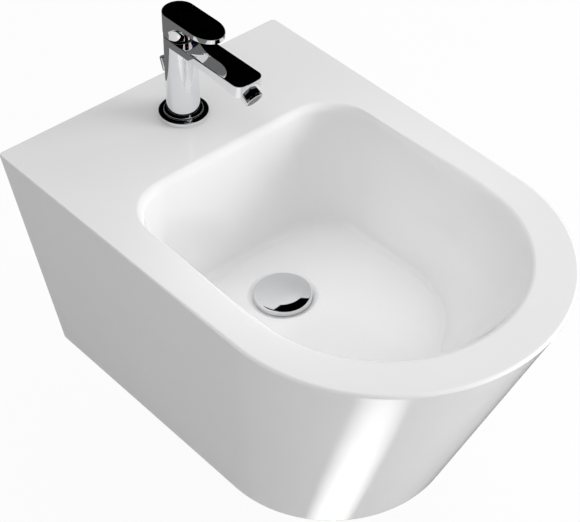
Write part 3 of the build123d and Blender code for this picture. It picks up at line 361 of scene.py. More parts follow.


# %% [markdown]
# The glaze is a glassy coat on white china, so it is a dielectric with a low roughness and the
# refractive index of glass. The chrome is a bare metal and takes its whole look from what it
# mirrors. The pieces out of sight get real finishes too, because the model opens in other
# lights. Only the nut in the gap under the lever is darker than bare brass: its colour is painted
# shade, the shade of that gap put into the metal. A bump is given by its scale, its depth in metres and
# its detail.

# %% Finishes
GLAZE = finish_of(
    "white_glaze",
    tinted(grey(0.88), grey(0.868), 9.0),
    smudged(0.05, 0.09, 14.0),
    bump=(22.0, 0.00012, 1.0),
    IOR=1.5,
)
CHROME = finish_of(
    "polished_chrome",
    tinted((0.90, 0.905, 0.92, 1), (0.87, 0.875, 0.89, 1), 30.0),
    smudged(0.015, 0.04, 60.0),
    1.0,
)
BRASS = finish_of(
    "turned_brass",
    tinted((0.78, 0.58, 0.28, 1), (0.66, 0.47, 0.21, 1), 90.0),
    smudged(0.2, 0.36, 200.0),
    1.0,
)
# Painted shade: this near-black brass stands for the shade in the gap under the lever, where the nut
# sits.
PAINTED_SHADE_BRASS = finish_of(
    "brass_painted_shade",
    tinted((0.10, 0.08, 0.05, 1), (0.06, 0.05, 0.035, 1), 90.0),
    smudged(0.3, 0.5, 200.0),
    1.0,
)
STEEL = finish_of("bright_steel", tinted(grey(0.62), grey(0.5), 60.0), smudged(0.18, 0.34, 150.0), 1.0)
ALUMINA = finish_of("lapped_alumina", tinted((0.86, 0.84, 0.78, 1), (0.82, 0.8, 0.74, 1), 80.0), 0.22)
GREY_PLASTIC = finish_of(
    "grey_plastic",
    tinted(grey(0.12), grey(0.1), 120.0),
    smudged(0.38, 0.55, 160.0),
    bump=(900.0, 0.00003, 2.0),
)
WHITE_PLASTIC = finish_of(
    "white_plastic",
    tinted(grey(0.78), grey(0.72), 70.0),
    smudged(0.3, 0.48, 120.0),
    bump=(700.0, 0.00003, 2.0),
)
AERATOR_GREY = finish_of("aerator_grey", tinted(grey(0.22), grey(0.17), 300.0), smudged(0.3, 0.45, 400.0))
RUBBER = finish_of(
    "black_rubber",
    tinted(grey(0.03), grey(0.045), 120.0),
    smudged(0.6, 0.8, 200.0),
    bump=(1200.0, 0.00004, 3.0),
)
RED = finish_of("red_enamel", (0.55, 0.01, 0.01, 1), 0.25)
BLUE = finish_of("blue_enamel", (0.01, 0.03, 0.5, 1), 0.25)
print(len(bpy.data.materials), "materials")

# %% [markdown]
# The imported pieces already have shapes, but no finish. Each one belongs to a material slot, and
# one table from slot to finish dresses them all.

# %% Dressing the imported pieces
BY_SLOT = {
    "ceramic": GLAZE,
    "chrome": CHROME,
    "brass": BRASS,
    "spindle_brass": BRASS,
    "steel": STEEL,
    "disc_ceramic": ALUMINA,
    "grey_plastic": GREY_PLASTIC,
    "white_plastic": WHITE_PLASTIC,
    "aerator_plastic": AERATOR_GREY,
    "rubber": RUBBER,
    "red_mark": RED,
    "blue_mark": BLUE,
}
slot_of = {row["node"]: row["material_slot"] for row in frame["record"]["subparts"]}
for node, thing in frame["nodes"].items():
    thing.data.materials.clear()
    thing.data.materials.append(BY_SLOT[slot_of[node]])
# The nut takes the painted shade, a near-black brass for the shade in the gap under the lever.
frame["nodes"]["cartridge_nut"].data.materials[0] = PAINTED_SHADE_BRASS
print(len(frame["nodes"]), "pieces dressed")

# %% [markdown]
# The casting is a single shell of china: a drafted outside, a flat deck, a bowl that hangs from
# it, a hollow behind. Slip casting gives it the same soft radius along each rim. One way would be
# to cut the bowl from a block and bevel every edge. Here each plan is drawn as points that
# correspond from level to level: deck rim, foot, inner wall, bowl lip, floor and drain. A column
# joins them in one closed loop, and rounding its corners gives every rim its own true radius.

# %% Plans of the casting
# Points per corner, per side, round the front and along the back of a plan
TURN, SIDE, BOW, REAR = 10, 16, 72, 16
# Half width and length at the rim, and how far side and front draw in down to the foot
SHELL_HALF, SHELL_LENGTH = 180.5, 548.0
SIDE_DRAFT, FRONT_DRAFT = 52.0, 123.0
# The bowl's half width, back, front and corner at the rim, and what each changes by at the floor
BOWL_HALF, BOWL_BACK, BOWL_FRONT, BOWL_CORNER = 139.5, 146.0, 501.0, 55.0
HALF_DRAFT, BACK_DRAFT, TOE_DRAFT, CORNER_DRAFT = 15.0, 5.5, 95.5, 10.0
# The fall of the bowl's floor towards the drain
FALL = 0.028


def rounded_plan(half, back, front, corner, z):
    """The plan of the casting or of the bowl: straight back, round corners, half-round front."""
    straight = front - half - back - corner
    reach, turn_y = half - corner, -back - corner
    points = []
    for i in range(REAR):
        points.append((-reach + 2 * reach * i / REAR, -back, z))
    for i in range(TURN):
        a = math.pi / 2 * (1 - i / TURN)
        points.append((reach + corner * math.cos(a), turn_y + corner * math.sin(a), z))
    for i in range(SIDE):
        points.append((half, turn_y - straight * i / SIDE, z))
    for i in range(BOW):
        a = -math.pi * i / BOW
        points.append((half * math.cos(a), half - front + half * math.sin(a), z))
    for i in range(SIDE):
        points.append((-half, half - front + straight * i / SIDE, z))
    for i in range(TURN):
        a = math.pi - math.pi / 2 * i / TURN
        points.append((-reach + corner * math.cos(a), turn_y + corner * math.sin(a), z))
    return [Vector(p) * MM for p in points]


def shell_plan(drop, inset=0.0, back=0.0, corner=4.0):
    """The outside of the casting at a depth below its rim, drawn in by an inset."""
    share = drop / RISE
    half = SHELL_HALF - SIDE_DRAFT * share - inset
    front = SHELL_LENGTH - FRONT_DRAFT * share - inset
    return rounded_plan(half, back, front, corner, DECK_MM - drop)


def bowl_plan(drop, grow=0.0):
    """The bowl at a depth below the rim, widened by the thickness of its wall."""
    share = drop / BOWL
    return rounded_plan(
        BOWL_HALF - HALF_DRAFT * share + grow,
        BOWL_BACK + BACK_DRAFT * share - grow,
        BOWL_FRONT - TOE_DRAFT * share + grow,
        BOWL_CORNER - CORNER_DRAFT * share + grow,
        DECK_MM - drop,
    )


def drain_circle(plan, radius, z):
    """A circle about the drain with one point for each point of a plan, in the same direction."""
    out = []
    for p in plan:
        away = Vector((p.x, p.y - DRAIN_Y))
        away.normalize()
        out.append(Vector((away.x * radius * MM, DRAIN_Y + away.y * radius * MM, z)))
    return out


def on_floor(plan):
    """Drops a plan onto the bowl's floor, which falls gently to the back."""
    return [Vector((p.x, p.y, FLOOR - FALL * (p.y - DRAIN_Y))) for p in plan]


# %% [markdown]
# The stations below run from the drain hole, up the bowl, over the rim, down the outside, round
# the foot and back up the hidden inner side. Each has the radius that its corner is rounded by.

# %% The casting's columns
# The china's thickness at the walls, the deck, the back and the foot, and the foot's inner ledge
WALL, DECK_WALL, BACK_WALL, FOOT_WALL, LEDGE = 10.0, 16.0, 14.0, 12.0, 30.0
INNER_CORNER = 24.0
# The drain: its hole, the seat of its flange, the recess's lip and the neck below
HOLE, SEAT, LIP, NECK = 23.0, 30.5, 37.0, 36.0
SEAT_DEPTH, NECK_DEPTH = 3.5, 15.0
CORNER_STEPS = 7

seat_z, neck_z = FLOOR - SEAT_DEPTH * MM, FLOOR - NECK_DEPTH * MM
bowl_foot = on_floor(bowl_plan(BOWL))
stations = [
    (drain_circle(bowl_foot, HOLE, neck_z), 0.6),
    (drain_circle(bowl_foot, HOLE, seat_z), 0.6),
    (drain_circle(bowl_foot, SEAT, seat_z), 1.5),
    (on_floor(drain_circle(bowl_foot, LIP, FLOOR)), 6.0),
    (bowl_foot, 8.5),
    (bowl_plan(0), 9.0),
    (shell_plan(0), 3.0),
    (shell_plan(RISE), 4.0),
    (shell_plan(RISE, LEDGE, LEDGE, INNER_CORNER), 3.0),
    (shell_plan(RISE - FOOT_WALL, LEDGE, LEDGE, INNER_CORNER), 3.0),
    (shell_plan(RISE - FOOT_WALL, WALL, BACK_WALL, INNER_CORNER), 6.0),
    (shell_plan(DECK_WALL, WALL, BACK_WALL, INNER_CORNER), 6.0),
    (bowl_plan(DECK_WALL, WALL), 6.0),
    (bowl_plan(BOWL + WALL, WALL), 6.0),
    (drain_circle(bowl_foot, NECK, FLOOR - WALL * MM), 3.0),
    (drain_circle(bowl_foot, NECK, neck_z), 2.0),
]
radii = scaled([None, *[radius for plan, radius in stations], None])
columns = []
for i in range(len(bowl_foot)):
    path = [plan[i] for plan, radius in stations]
    columns.append(rounded([path[-1], *path, path[0]], radii, CORNER_STEPS)[1:-1])
casting = grid_mesh("casting", columns, along=True)
print("casting", len(columns), "columns of", len(columns[0]), "points")

# %% [markdown]
# Openings are cut with prisms. A prism needs only an outline and the two levels that it runs
# between, and the same function later makes the floor.

# %% Prisms and outlines
def block(name, outline, low, high, along="Y"):
    """A prism on an outline of (x, z) or (x, y) points, in millimetres."""
    def at(u, v, w):
        return Vector((u, w, v)) * MM if along == "Y" else Vector((u, v, w)) * MM
    columns = [[at(u, v, low), at(u, v, high)] for u, v in outline]
    return grid_mesh(name, columns, caps=(0, 1))


def round_rectangle(width, height, corner, middle, steps=8):
    """The outline of a rectangle with rounded corners, at a height above the origin."""
    out = []
    for k, (sx, sy) in enumerate([(1, 1), (-1, 1), (-1, -1), (1, -1)]):
        x, y = sx * (width / 2 - corner), middle + sy * (height / 2 - corner)
        for i in range(steps + 1):
            a = math.pi / 2 * (k + i / steps)
            out.append((x + corner * math.cos(a), y + corner * math.sin(a)))
    return out


def disc_outline(radius, centre, turns=48):
    """The outline of a circle."""
    spins = [2 * math.pi * i / turns for i in range(turns)]
    return [(centre[0] + radius * math.cos(a), centre[1] + radius * math.sin(a)) for a in spins]


# %% [markdown]
# The wall side has an opening for the pipes and two holes for the fixings, and the deck has the
# hole for the tap. All four go through the finished shell, as they are punched in the soft clay.

# %% Cutting the casting
PIPES_WIDTH, PIPES_CORNER = 124.0, 18.0
PIPES_LOW, PIPES_HIGH = -183.0, -46.0
FIXING_HOLE, FIXING_X = 10.15, 90.0
TAP_HOLE = 17.5
# A cut reaches from the hollow behind the china to clear of its outside
INTO, CLEAR = -40.0, 20.0

pipes = round_rectangle(
    PIPES_WIDTH, PIPES_HIGH - PIPES_LOW, PIPES_CORNER, (PIPES_LOW + PIPES_HIGH) / 2
)
left_hole = disc_outline(FIXING_HOLE, (-FIXING_X, 0))
right_hole = disc_outline(FIXING_HOLE, (FIXING_X, 0))
tap_ring = disc_outline(TAP_HOLE, (0, TAP_Y / MM))
casting = combine(
    casting,
    [
        ("DIFFERENCE", block("pipes", pipes, INTO, CLEAR)),
        ("DIFFERENCE", block("fixing_left", left_hole, INTO, CLEAR)),
        ("DIFFERENCE", block("fixing_right", right_hole, INTO, CLEAR)),
        ("DIFFERENCE", block("tap_hole", tap_ring, DECK_MM + INTO, DECK_MM + CLEAR, "Z")),
    ],
)
CHINA = ["bidet_deck", "bidet_bowl", "bidet_bowl_floor", "bidet_skirt", "bidet_back", "bidet_foot"]
add_piece("ceramic_casting", casting, GLAZE, "fixture", CHINA)

# %% [markdown]
# The plug's cap is a shallow chromed dome with a rolled edge, low in the drain's recess. It is
# spun from sheet on the real thing, so here it is turned too. The dome needs only two points
# between the edge and the top once a large radius blends them.

# %% The plug's cap
DRAIN = placing((0, DRAIN_Y, FLOOR))
CAP, CAP_SKIRT, CAP_UNDER, CAP_LOW = 30.5, 28.9, 0.6, -2.0
DOME = [(CAP, 4.1), (20, 4.65), (10, 4.92), (0, 5.0)]
FINE_TURNS = 128
cap = turned(
    "cap",
    DRAIN,
    [(0, CAP_UNDER), (CAP_SKIRT, CAP_UNDER), (CAP_SKIRT, CAP_LOW), (CAP, CAP_LOW), *DOME],
    [None, 0.3, 0.3, 0.4, 2.2, 40, 40, None],
    FINE_TURNS,
)
add_piece("plug_dome", cap, CHROME, "plug", ["plug_cap"])

# %% [markdown]
# The flange round the foot of the tap has one step. Its two outer edges carry most of what the
# eye sees of it, a thin bright line each, so they get a larger round than the rest. The side
# against the column is never seen, and the section is left open there.

# %% The base flange
TAP = placing((0, TAP_Y, DECK))
BORE, RIM, STEP = 17.55, 25.9, 20.2
SEATED, STEP_LEVEL, FLANGE_TOP = 0.3, 5.0, 7.4
flange = turned(
    "flange",
    TAP,
    [
        (BORE, SEATED),
        (RIM, SEATED),
        (RIM, STEP_LEVEL),
        (STEP, STEP_LEVEL),
        (STEP, FLANGE_TOP),
        (BORE, FLANGE_TOP),
    ],
    [None, 0.3, 0.8, 0.4, 0.8, None],
    FINE_TURNS,
)
add_piece("flange_ring", flange, CHROME, "fixture", ["base_flange"])

# %% [markdown]
# The tap is one brass casting: an upright, slightly tapered column and a flat spout that grows
# out of its head. From above the spout is a straight bar with a softly bowed tip. Its underside
# is a shallow belly that climbs towards the tip. A loft of rounded sections would leave the tip
# pinched, so each point of the plan gets its own column of points instead. The column runs from
# the centre line of the top, over the rim, down the side and along the belly to the centre line.

# %% The spout's outline
SPOUT_HALF, SPOUT_REACH, TAP_HEAD = 16.5, 110.0, 97.2
TIP_BOW, TIP_CORNER = 60.0, 9.0
# Height of the side's lower edge at distances from the tap's axis, and the belly's drop below it
EDGES = [(0, 88.6), (58, 88.2), (80, 87.0), (96, 85.2), (111, 83.3)]
BELLY = 2.6
# Points along the side, round the corner, along half the tip and across the rear
SIDE_COUNT, CORNER_COUNT, TIP_COUNT, REAR_COUNT = 24, 14, 8, 10


def eased(table, at):
    """The height of a smooth curve through a table of (place, height)."""
    slopes = []
    for k in range(len(table)):
        a, b = table[max(k - 1, 0)], table[min(k + 1, len(table) - 1)]
        slopes.append((b[1] - a[1]) / (b[0] - a[0]))
    at = min(max(at, table[0][0]), table[-1][0])
    k = max(i for i in range(len(table) - 1) if table[i][0] <= at)
    (x0, y0), (x1, y1) = table[k], table[k + 1]
    t = (at - x0) / (x1 - x0)
    span = x1 - x0
    return (
        y0 * (1 + 2 * t) * (1 - t) ** 2
        + y1 * t * t * (3 - 2 * t)
        + span * (slopes[k] * t * (1 - t) ** 2 - slopes[k + 1] * t * t * (1 - t))
    )


def belly(x, y):
    """The height of the spout's underside."""
    return eased(EDGES, -y) - BELLY * (1 - (x / SPOUT_HALF) ** 2)


def spout_plan():
    """Half of the plan and its mirror image, from the column round the tip and back."""
    # The corner's arc touches the straight side and the bowed tip from inside
    arc_x = SPOUT_HALF - TIP_CORNER
    centre_y = TIP_BOW - SPOUT_REACH
    arc_y = centre_y - math.sqrt((TIP_BOW - TIP_CORNER) ** 2 - arc_x**2)
    turn = math.atan2(arc_x, centre_y - arc_y)
    half = [(SPOUT_HALF, arc_y * (i / SIDE_COUNT)) for i in range(SIDE_COUNT)]
    for i in range(CORNER_COUNT + 1):
        a = (math.pi / 2 - turn) * i / CORNER_COUNT
        half.append((arc_x + TIP_CORNER * math.cos(a), arc_y - TIP_CORNER * math.sin(a)))
    for i in range(1, TIP_COUNT + 1):
        a = turn * (1 - i / TIP_COUNT)
        half.append((TIP_BOW * math.sin(a), centre_y - TIP_BOW * math.cos(a)))
    other = [(-x, y) for x, y in reversed(half[:-1])]
    rear = [(SPOUT_HALF * (2 * i / REAR_COUNT - 1), 0.0) for i in range(1, REAR_COUNT)]
    return half + other + rear


# %% [markdown]
# The centre line that the columns start from ends short of the tip. There they fan out from one
# point, like the ribs of a shell, and so the bowed tip keeps its even rim.

# %% The spout's columns
SPINE_END = SPOUT_REACH - 14.0
TOP_ROUND, EDGE_ROUND = 1.5, 0.5
# How far from the spine to the rim the points of the top lie, and the count of those below
TOP_SHARES, UNDER_COUNT = (0.0, 0.5, 0.9), 10
RIM_STEPS = 5


def spout_columns():
    """One column of points for each point of the spout's plan."""
    out = []
    for x, y in spout_plan():
        spine = min(0.0, max(y, -SPINE_END))
        top = [(x * t, spine + (y - spine) * t, TAP_HEAD) for t in TOP_SHARES]
        under = []
        for k in range(UNDER_COUNT - 1, -1, -1):
            t = k / UNDER_COUNT
            u, v = x * t, spine + (y - spine) * t
            under.append((u, v, belly(u, v)))
        path = [*top, (x, y, TAP_HEAD), (x, y, belly(x, y)), *under]
        radii = scaled([*[None] * len(top), TOP_ROUND, EDGE_ROUND, *[None] * len(under)])
        out.append([TAP @ p for p in rounded([Vector(q) * MM for q in path], radii, RIM_STEPS)])
    return out


spout = grid_mesh("spout", spout_columns())
print("spout", len(spout.polygons), "faces")

# %% [markdown]
# At the tip sits the housing of the nozzle's ball joint, a short cylinder that leans 30 degrees
# below level. A flared pocket opens it, so the barrel can swing, and the ball's socket goes on
# inwards. Column, spout and housing are joined before anything is cut, as in the real casting.
# The nut's seat and the pull rod's bore are then cut from above.

# %% Axes and drills
# How far the ball is in front of the tap's axis and above the deck, and the rod behind the axis
BALL_OUT, BALL_UP, ROD_BACK = 97.0, 86.6, 11.6
DIP, LEAN = math.radians(30), math.radians(19)
BALL = Vector((0, TAP_Y - BALL_OUT * MM, DECK + BALL_UP * MM))
NOZZLE = placing(BALL, (0, -math.cos(DIP), -math.sin(DIP)))
ROD = placing((0, TAP_Y + ROD_BACK * MM, DECK), (0, math.sin(LEAN), math.cos(LEAN)))


def from_tap(x, y):
    """An upright axis at a distance from the tap's own, in millimetres."""
    return placing((x * MM, TAP_Y + y * MM, DECK))


def bar(name, place, section, turns=96):
    """A turned solid with sharp corners, for joining or for cutting."""
    return turned(name, place, section, [None] * len(section), turns)


def drill(name, place, radius, low, high, turns=48):
    """A round hole between two heights on an axis."""
    return bar(name, place, [(0, low), (radius, low), (radius, high), (0, high)], turns)


# %% [markdown]
# The column narrows a little towards its head, and a short neck under it drops into the deck's
# hole. The housing must end below the flat top of the spout, so a block takes off what is higher.

# %% The column and the nozzle's housing
NECK_LOW, NECK_HALF = -5.0, 15.8
COLUMN_LOW, COLUMN_HIGH = 17.4, 16.7
COLUMN_TURNS = 144
# The housing: its radius and its socket's, and levels along the nozzle's axis
HOUSING, SOCKET = 9.7, 7.6
HOUSING_END, HOUSING_TAPER, POCKET = -11.1, -9.0, 3.3
# The metal left under the spout's top, and the reach and the height of the block that trims
SKIN, WIDE, HIGH = 1.5, 40.0, 140.0

column = turned(
    "column",
    TAP,
    [
        (0, NECK_LOW),
        (NECK_HALF, NECK_LOW),
        (NECK_HALF, SEATED),
        (COLUMN_LOW, SEATED),
        (COLUMN_HIGH, TAP_HEAD),
        (0, TAP_HEAD),
    ],
    [None, 0.3, 0.1, 0.2, 0.3, None],
    COLUMN_TURNS,
)
over_ball = disc_outline(WIDE, (0, BALL.y / MM))
above_head = block("above_head", over_ball, DECK_MM + TAP_HEAD - SKIN, DECK_MM + HIGH, "Z")
cup = [
    (0, HOUSING_END),
    (SOCKET, HOUSING_END),
    (HOUSING, HOUSING_TAPER),
    (HOUSING, POCKET),
    (0, POCKET),
]
housing = combine(bar("housing", NOZZLE, cup), [("DIFFERENCE", above_head)])
print("column", len(column.polygons), "faces, housing", len(housing.polygons), "faces")

# %% [markdown]
# Everything that the tap is drilled for shows only when a piece moves, but then the eye looks
# straight in: the flared pocket round the nozzle, the cartridge's chamber under the lever and the
# bore of the pull rod. The two inlets and the stud's hole are underneath.

# %% The tap body
POCKET_NECK, POCKET_MOUTH, POCKET_END = 10.7, 16.72, 17.3
CHAMBER, CHAMBER_FLOOR, NUT_SEAT, NUT_LEVEL, ABOVE = 12.9, 70.0, 14.7, 91.5, 99.0
SOCKET_BACK, SOCKET_FRONT = -4.95, 5.0
ROD_BORE, ROD_LOW, ROD_HIGH = 2.3, -12.0, 60.0
INLET, INLET_X, INLET_Y, INLET_TOP = 4.5, 8.0, -0.5, 7.0
STUD_HOLE, STUD_Y, STUD_TOP = 4.1, -10.6, 9.0
BELOW = -8.0

pocket = [(0, POCKET), (POCKET_NECK, POCKET), (POCKET_MOUTH, POCKET_END), (0, POCKET_END)]
chamber = [
    (0, CHAMBER_FLOOR),
    (CHAMBER, CHAMBER_FLOOR),
    (CHAMBER, NUT_LEVEL),
    (NUT_SEAT, NUT_LEVEL),
    (NUT_SEAT, ABOVE),
    (0, ABOVE),
]
tap = combine(
    column,
    [
        ("UNION", spout),
        ("UNION", housing),
        ("DIFFERENCE", bar("pocket", NOZZLE, pocket)),
        ("DIFFERENCE", drill("socket", NOZZLE, SOCKET, SOCKET_BACK, SOCKET_FRONT, 96)),
        ("DIFFERENCE", bar("chamber", TAP, chamber)),
        ("DIFFERENCE", drill("rod_bore", ROD, ROD_BORE, ROD_LOW, ROD_HIGH)),
        ("DIFFERENCE", drill("inlet", from_tap(-INLET_X, INLET_Y), INLET, BELOW, INLET_TOP)),
        ("DIFFERENCE", drill("inlet", from_tap(INLET_X, INLET_Y), INLET, BELOW, INLET_TOP)),
        ("DIFFERENCE", drill("stud_hole", from_tap(0, STUD_Y), STUD_HOLE, BELOW, STUD_TOP)),
    ],
)
add_piece("tap_casting", tap, CHROME, "fixture", ["tap_body"])

# %% [markdown]
# The lever is the piece that the eye goes to. Its plate is flat on top, straight along the sides
# and half an ellipse in front, and it runs over a round hub. Below, the hub flares forward into
# the plate as an elliptical cove turned about the tap's axis. So every column of the lever starts
# at the middle of the top, passes over the rim, follows the cove inwards and ends in the hub's
# hollow. The hub's rear half is cut at a slope, which is what lets the lever tilt.

# %% The lever's outline
# Half width, length of the straight sides and length of the half ellipse in front of them
LEVER_HALF, LEVER_SIDE, LEVER_NOSE = 17.05, 38.4, 25.2
# Heights above the deck: the plate, the hub's foot and where the cove starts
PLATE_TOP, PLATE_UNDER, HUB_FOOT, COVE_FOOT = 124.2, 118.8, 98.6, 105.0
COVE_REACH = 14.0
COVE_END = LEVER_HALF + COVE_REACH
# Points round the rear, along a side and round the front
HUB_COUNT, LEVER_SIDE_COUNT, NOSE_COUNT = 56, 26, 72


def lever_plan():
    """The plan of the lever, as points all the way round."""
    rear = [math.pi * i / HUB_COUNT for i in range(HUB_COUNT)]
    front = [math.pi * (1 + i / NOSE_COUNT) for i in range(NOSE_COUNT + 1)]
    side = [LEVER_SIDE * i / LEVER_SIDE_COUNT for i in range(LEVER_SIDE_COUNT)]
    points = [(LEVER_HALF * math.cos(a), LEVER_HALF * math.sin(a)) for a in rear]
    points += [(-LEVER_HALF, -y) for y in side]
    points += [(LEVER_HALF * math.cos(a), LEVER_NOSE * math.sin(a) - LEVER_SIDE) for a in front]
    points += [(LEVER_HALF, y - LEVER_SIDE) for y in side[1:]]
    return points


def cove(radius):
    """The height of the plate's underside at a distance from the tap's axis."""
    gap = COVE_END - radius
    if gap <= 0:
        return PLATE_UNDER
    return COVE_FOOT + (PLATE_UNDER - COVE_FOOT) * math.sqrt(max(0.0, 1 - (gap / COVE_REACH) ** 2))


# %% [markdown]
# The cove needs its points where it curves most, at the hub. Where the plate runs on past the end
# of the cove, the last few points are spread over its flat underside instead.

# %% The lever's columns
COVE_COUNT, CURVED_COUNT = 18, 14
TILT_LIMIT = math.radians(15)
LEVER_TOP_SHARES = (0.0, 0.5, 0.95)
PLATE_ROUNDS = [0.7, 0.4]
# The hub's hollow and the sleeve for the spindle inside it, as (radius, height) corners
HOLLOW, CEILING, SLEEVE, SLEEVE_FOOT, SLEEVE_END = 15.2, 114.5, 8.4, 102.0, 6.0
HUB = [
    (LEVER_HALF, HUB_FOOT),
    (HOLLOW, HUB_FOOT),
    (HOLLOW, CEILING),
    (SLEEVE, CEILING),
    (SLEEVE, SLEEVE_FOOT),
    (SLEEVE_END, SLEEVE_FOOT),
]
HUB_ROUNDS = [0.35, 0.2, 0.5, 0.5, 0.3, None]


def cove_radius(far, k):
    """How far from the axis a point of the cove is, counted from the hub towards the rim."""
    if far <= COVE_END:
        return LEVER_HALF + (far - LEVER_HALF) * (1 - math.cos(math.pi / 2 * k / COVE_COUNT))
    if k < CURVED_COUNT:
        return LEVER_HALF + COVE_REACH * (1 - math.cos(math.pi / 2 * k / CURVED_COUNT))
    return COVE_END + (far - COVE_END) * (k - CURVED_COUNT) / (COVE_COUNT - CURVED_COUNT)


def lever_columns():
    """One column of points for each point of the lever's plan."""
    out = []
    for x, y in lever_plan():
        far = math.hypot(x, y)
        ux, uy = x / far, y / far
        top = [(x * t, y * t, PLATE_TOP) for t in LEVER_TOP_SHARES]
        reaches = [cove_radius(far, k) for k in range(COVE_COUNT - 1, -1, -1)]
        under = [(ux * r, uy * r, cove(r)) for r in reaches]
        hub = []
        for r, level in HUB:
            # The rear of the foot rises, to leave room for the tilt
            rise = max(0.0, r * uy) * math.tan(TILT_LIMIT) if level == HUB_FOOT else 0.0
            hub.append((ux * r, uy * r, level + rise))
        path = [*top, (x, y, PLATE_TOP), (x, y, cove(far)), *under, *hub]
        radii = [*[None] * len(top), *PLATE_ROUNDS, *[None] * len(under), *HUB_ROUNDS]
        corners = [Vector(point) * MM for point in path]
        out.append([TAP @ p for p in rounded(corners, scaled(radii), RIM_STEPS)])
    return out


lever_blank = grid_mesh("lever_blank", lever_columns(), caps=(-1,))

# %% [markdown]
# The hub has a square socket for the cartridge's spindle, two shallow holes in front for the
# coloured dots, and a way for the grub screw at the back.

# %% Cutting the lever
SPINDLE_CORNER, SPINDLE_LOW, SPINDLE_HIGH = 5.16, 100.0, 113.3
DOT, DOT_SINK, DOT_X, DOT_LEVEL = 0.93, -0.8, 3.5, 103.5
SCREW_WAY, SCREW_LEVEL, SCREW_END = 2.6, 107.5, 30.0

squared = TAP @ Matrix.Rotation(math.pi / 4, 4, "Z")
socket = drill("spindle", squared, SPINDLE_CORNER, SPINDLE_LOW, SPINDLE_HIGH, turns=4)
cuts = [("DIFFERENCE", socket)]
dot_turn = math.atan(DOT_X / LEVER_HALF)
for side in (-1, 1):
    outward = Vector((side * math.sin(dot_turn), -math.cos(dot_turn), 0))
    centre = TAP @ ((outward * LEVER_HALF + Vector((0, 0, DOT_LEVEL))) * MM)
    dot = drill("dot", placing(centre, outward, (0, 0, 1)), DOT, DOT_SINK, 1, 32)
    cuts.append(("DIFFERENCE", dot))
screw_axis = placing((0, TAP_Y, DECK + SCREW_LEVEL * MM), (0, 1, 0))
cuts.append(("DIFFERENCE", drill("screw_way", screw_axis, SCREW_WAY, 0, SCREW_END, 40)))
add_piece("lever_handle", combine(lever_blank, cuts), CHROME, "lever", ["lever"])

# %% [markdown]
# The nozzle is turned from bar and then milled with six flats, which leave a round ring at the
# mouth. The flats come from the radius itself: at each angle it is whichever is less, the round
# of the bar or the distance to the nearest flat.

# %% The nozzle
BAR, FLAT, FLAT_TURN = 9.75, 8.9, 15.0
BALL_RADIUS, BALL_ANGLES = 5.0, [math.radians(10 * k) for k in range(15)]
NECK_RADIUS, SHOULDER, SHOULDER_LEVEL = 3.2, 7.75, 6.0
RING_LEVEL, RING_SLOPE = 15.5, 0.2
MOUTH_LEVEL, MOUTH_BORE, MOUTH_FLOOR = 18.0, 7.95, 10.0
NOZZLE_TURNS, NOZZLE_STEPS = 180, 4
NOZZLE_ROUNDS = [0.2, 0.4, 0.4, 0.15, 0.2, 0.35, 0.25, 0.3, None]


def nozzle_columns():
    """The barrel and its ball, from the back of the ball to the bottom of the mouth."""
    out = []
    ball = [(BALL_RADIUS * math.sin(a), -BALL_RADIUS * math.cos(a)) for a in BALL_ANGLES]
    radii = scaled([*[None] * len(ball), *NOZZLE_ROUNDS])
    for i in range(NOZZLE_TURNS):
        angle = 2 * math.pi * i / NOZZLE_TURNS
        # Degrees from the middle of the nearest of the six flats
        off = (math.degrees(angle) - FLAT_TURN + 30) % 60 - 30
        flat = min(BAR, FLAT / math.cos(math.radians(off)))
        path = [
            *ball,
            (NECK_RADIUS, SHOULDER_LEVEL),
            (SHOULDER, SHOULDER_LEVEL),
            (flat, flat + SHOULDER_LEVEL - SHOULDER),
            (flat, RING_LEVEL - RING_SLOPE),
            (BAR, RING_LEVEL),
            (BAR, MOUTH_LEVEL),
            (MOUTH_BORE, MOUTH_LEVEL),
            (MOUTH_BORE, MOUTH_FLOOR),
            (0, MOUTH_FLOOR),
        ]
        line = rounded([(r * MM, 0, h * MM) for r, h in path], radii, NOZZLE_STEPS)
        spin = Matrix.Rotation(angle, 4, "Z")
        out.append([NOZZLE @ (spin @ p) for p in line])
    return out


nozzle = grid_mesh("nozzle", nozzle_columns())
add_piece("nozzle_outlet", nozzle, CHROME, "nozzle", ["nozzle_barrel"], 25)

# %% [markdown]
# Behind the tap stands the pull rod of the waste, with a small round-ended knob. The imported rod
# is plain and stays. The knob is turned on the same leaning axis, with its ends well rounded.

# %% The pull rod's knob
KNOB, KNOB_LOW, KNOB_HIGH, KNOB_ROUND = 3.7, 42.0, 57.5, 0.95
knob = turned(
    "knob",
    ROD,
    [(0, KNOB_LOW), (KNOB, KNOB_LOW), (KNOB, KNOB_HIGH), (0, KNOB_HIGH)],
    [None, KNOB_ROUND, KNOB_ROUND, None],
    turns=64,
)
add_piece("pull_knob", knob, CHROME, "pull_rod", ["lift_knob"])

# %% [markdown]
# The camera stands where the photographer's did: in front on the left, looking down at about
# 41 degrees, with a long lens that keeps the casting's sides nearly parallel.

# %% Camera
AIM = Vector((-0.0011, -0.2352, -0.0913 + DECK))
REACH, TURN_LEFT, LOOK_DOWN = 1.8182, math.radians(41.284), math.radians(41.49)
LENS, SENSOR = 112.8, 36.0

camera_data = bpy.data.cameras.new("camera")
camera_data.lens = LENS
camera_data.sensor_width = SENSOR
camera = bpy.data.objects.new("camera", camera_data)
bpy.context.scene.collection.objects.link(camera)
level = Vector((-math.sin(TURN_LEFT), -math.cos(TURN_LEFT), 0))
back = level * math.cos(LOOK_DOWN) + Vector((0, 0, math.sin(LOOK_DOWN)))
camera.location = AIM + back * REACH
camera.rotation_mode = "QUATERNION"
camera.rotation_quaternion = (-back).to_track_quat("-Z", "Y")
bpy.context.scene.camera = camera
print("camera at", [round(v, 3) for v in camera.location])

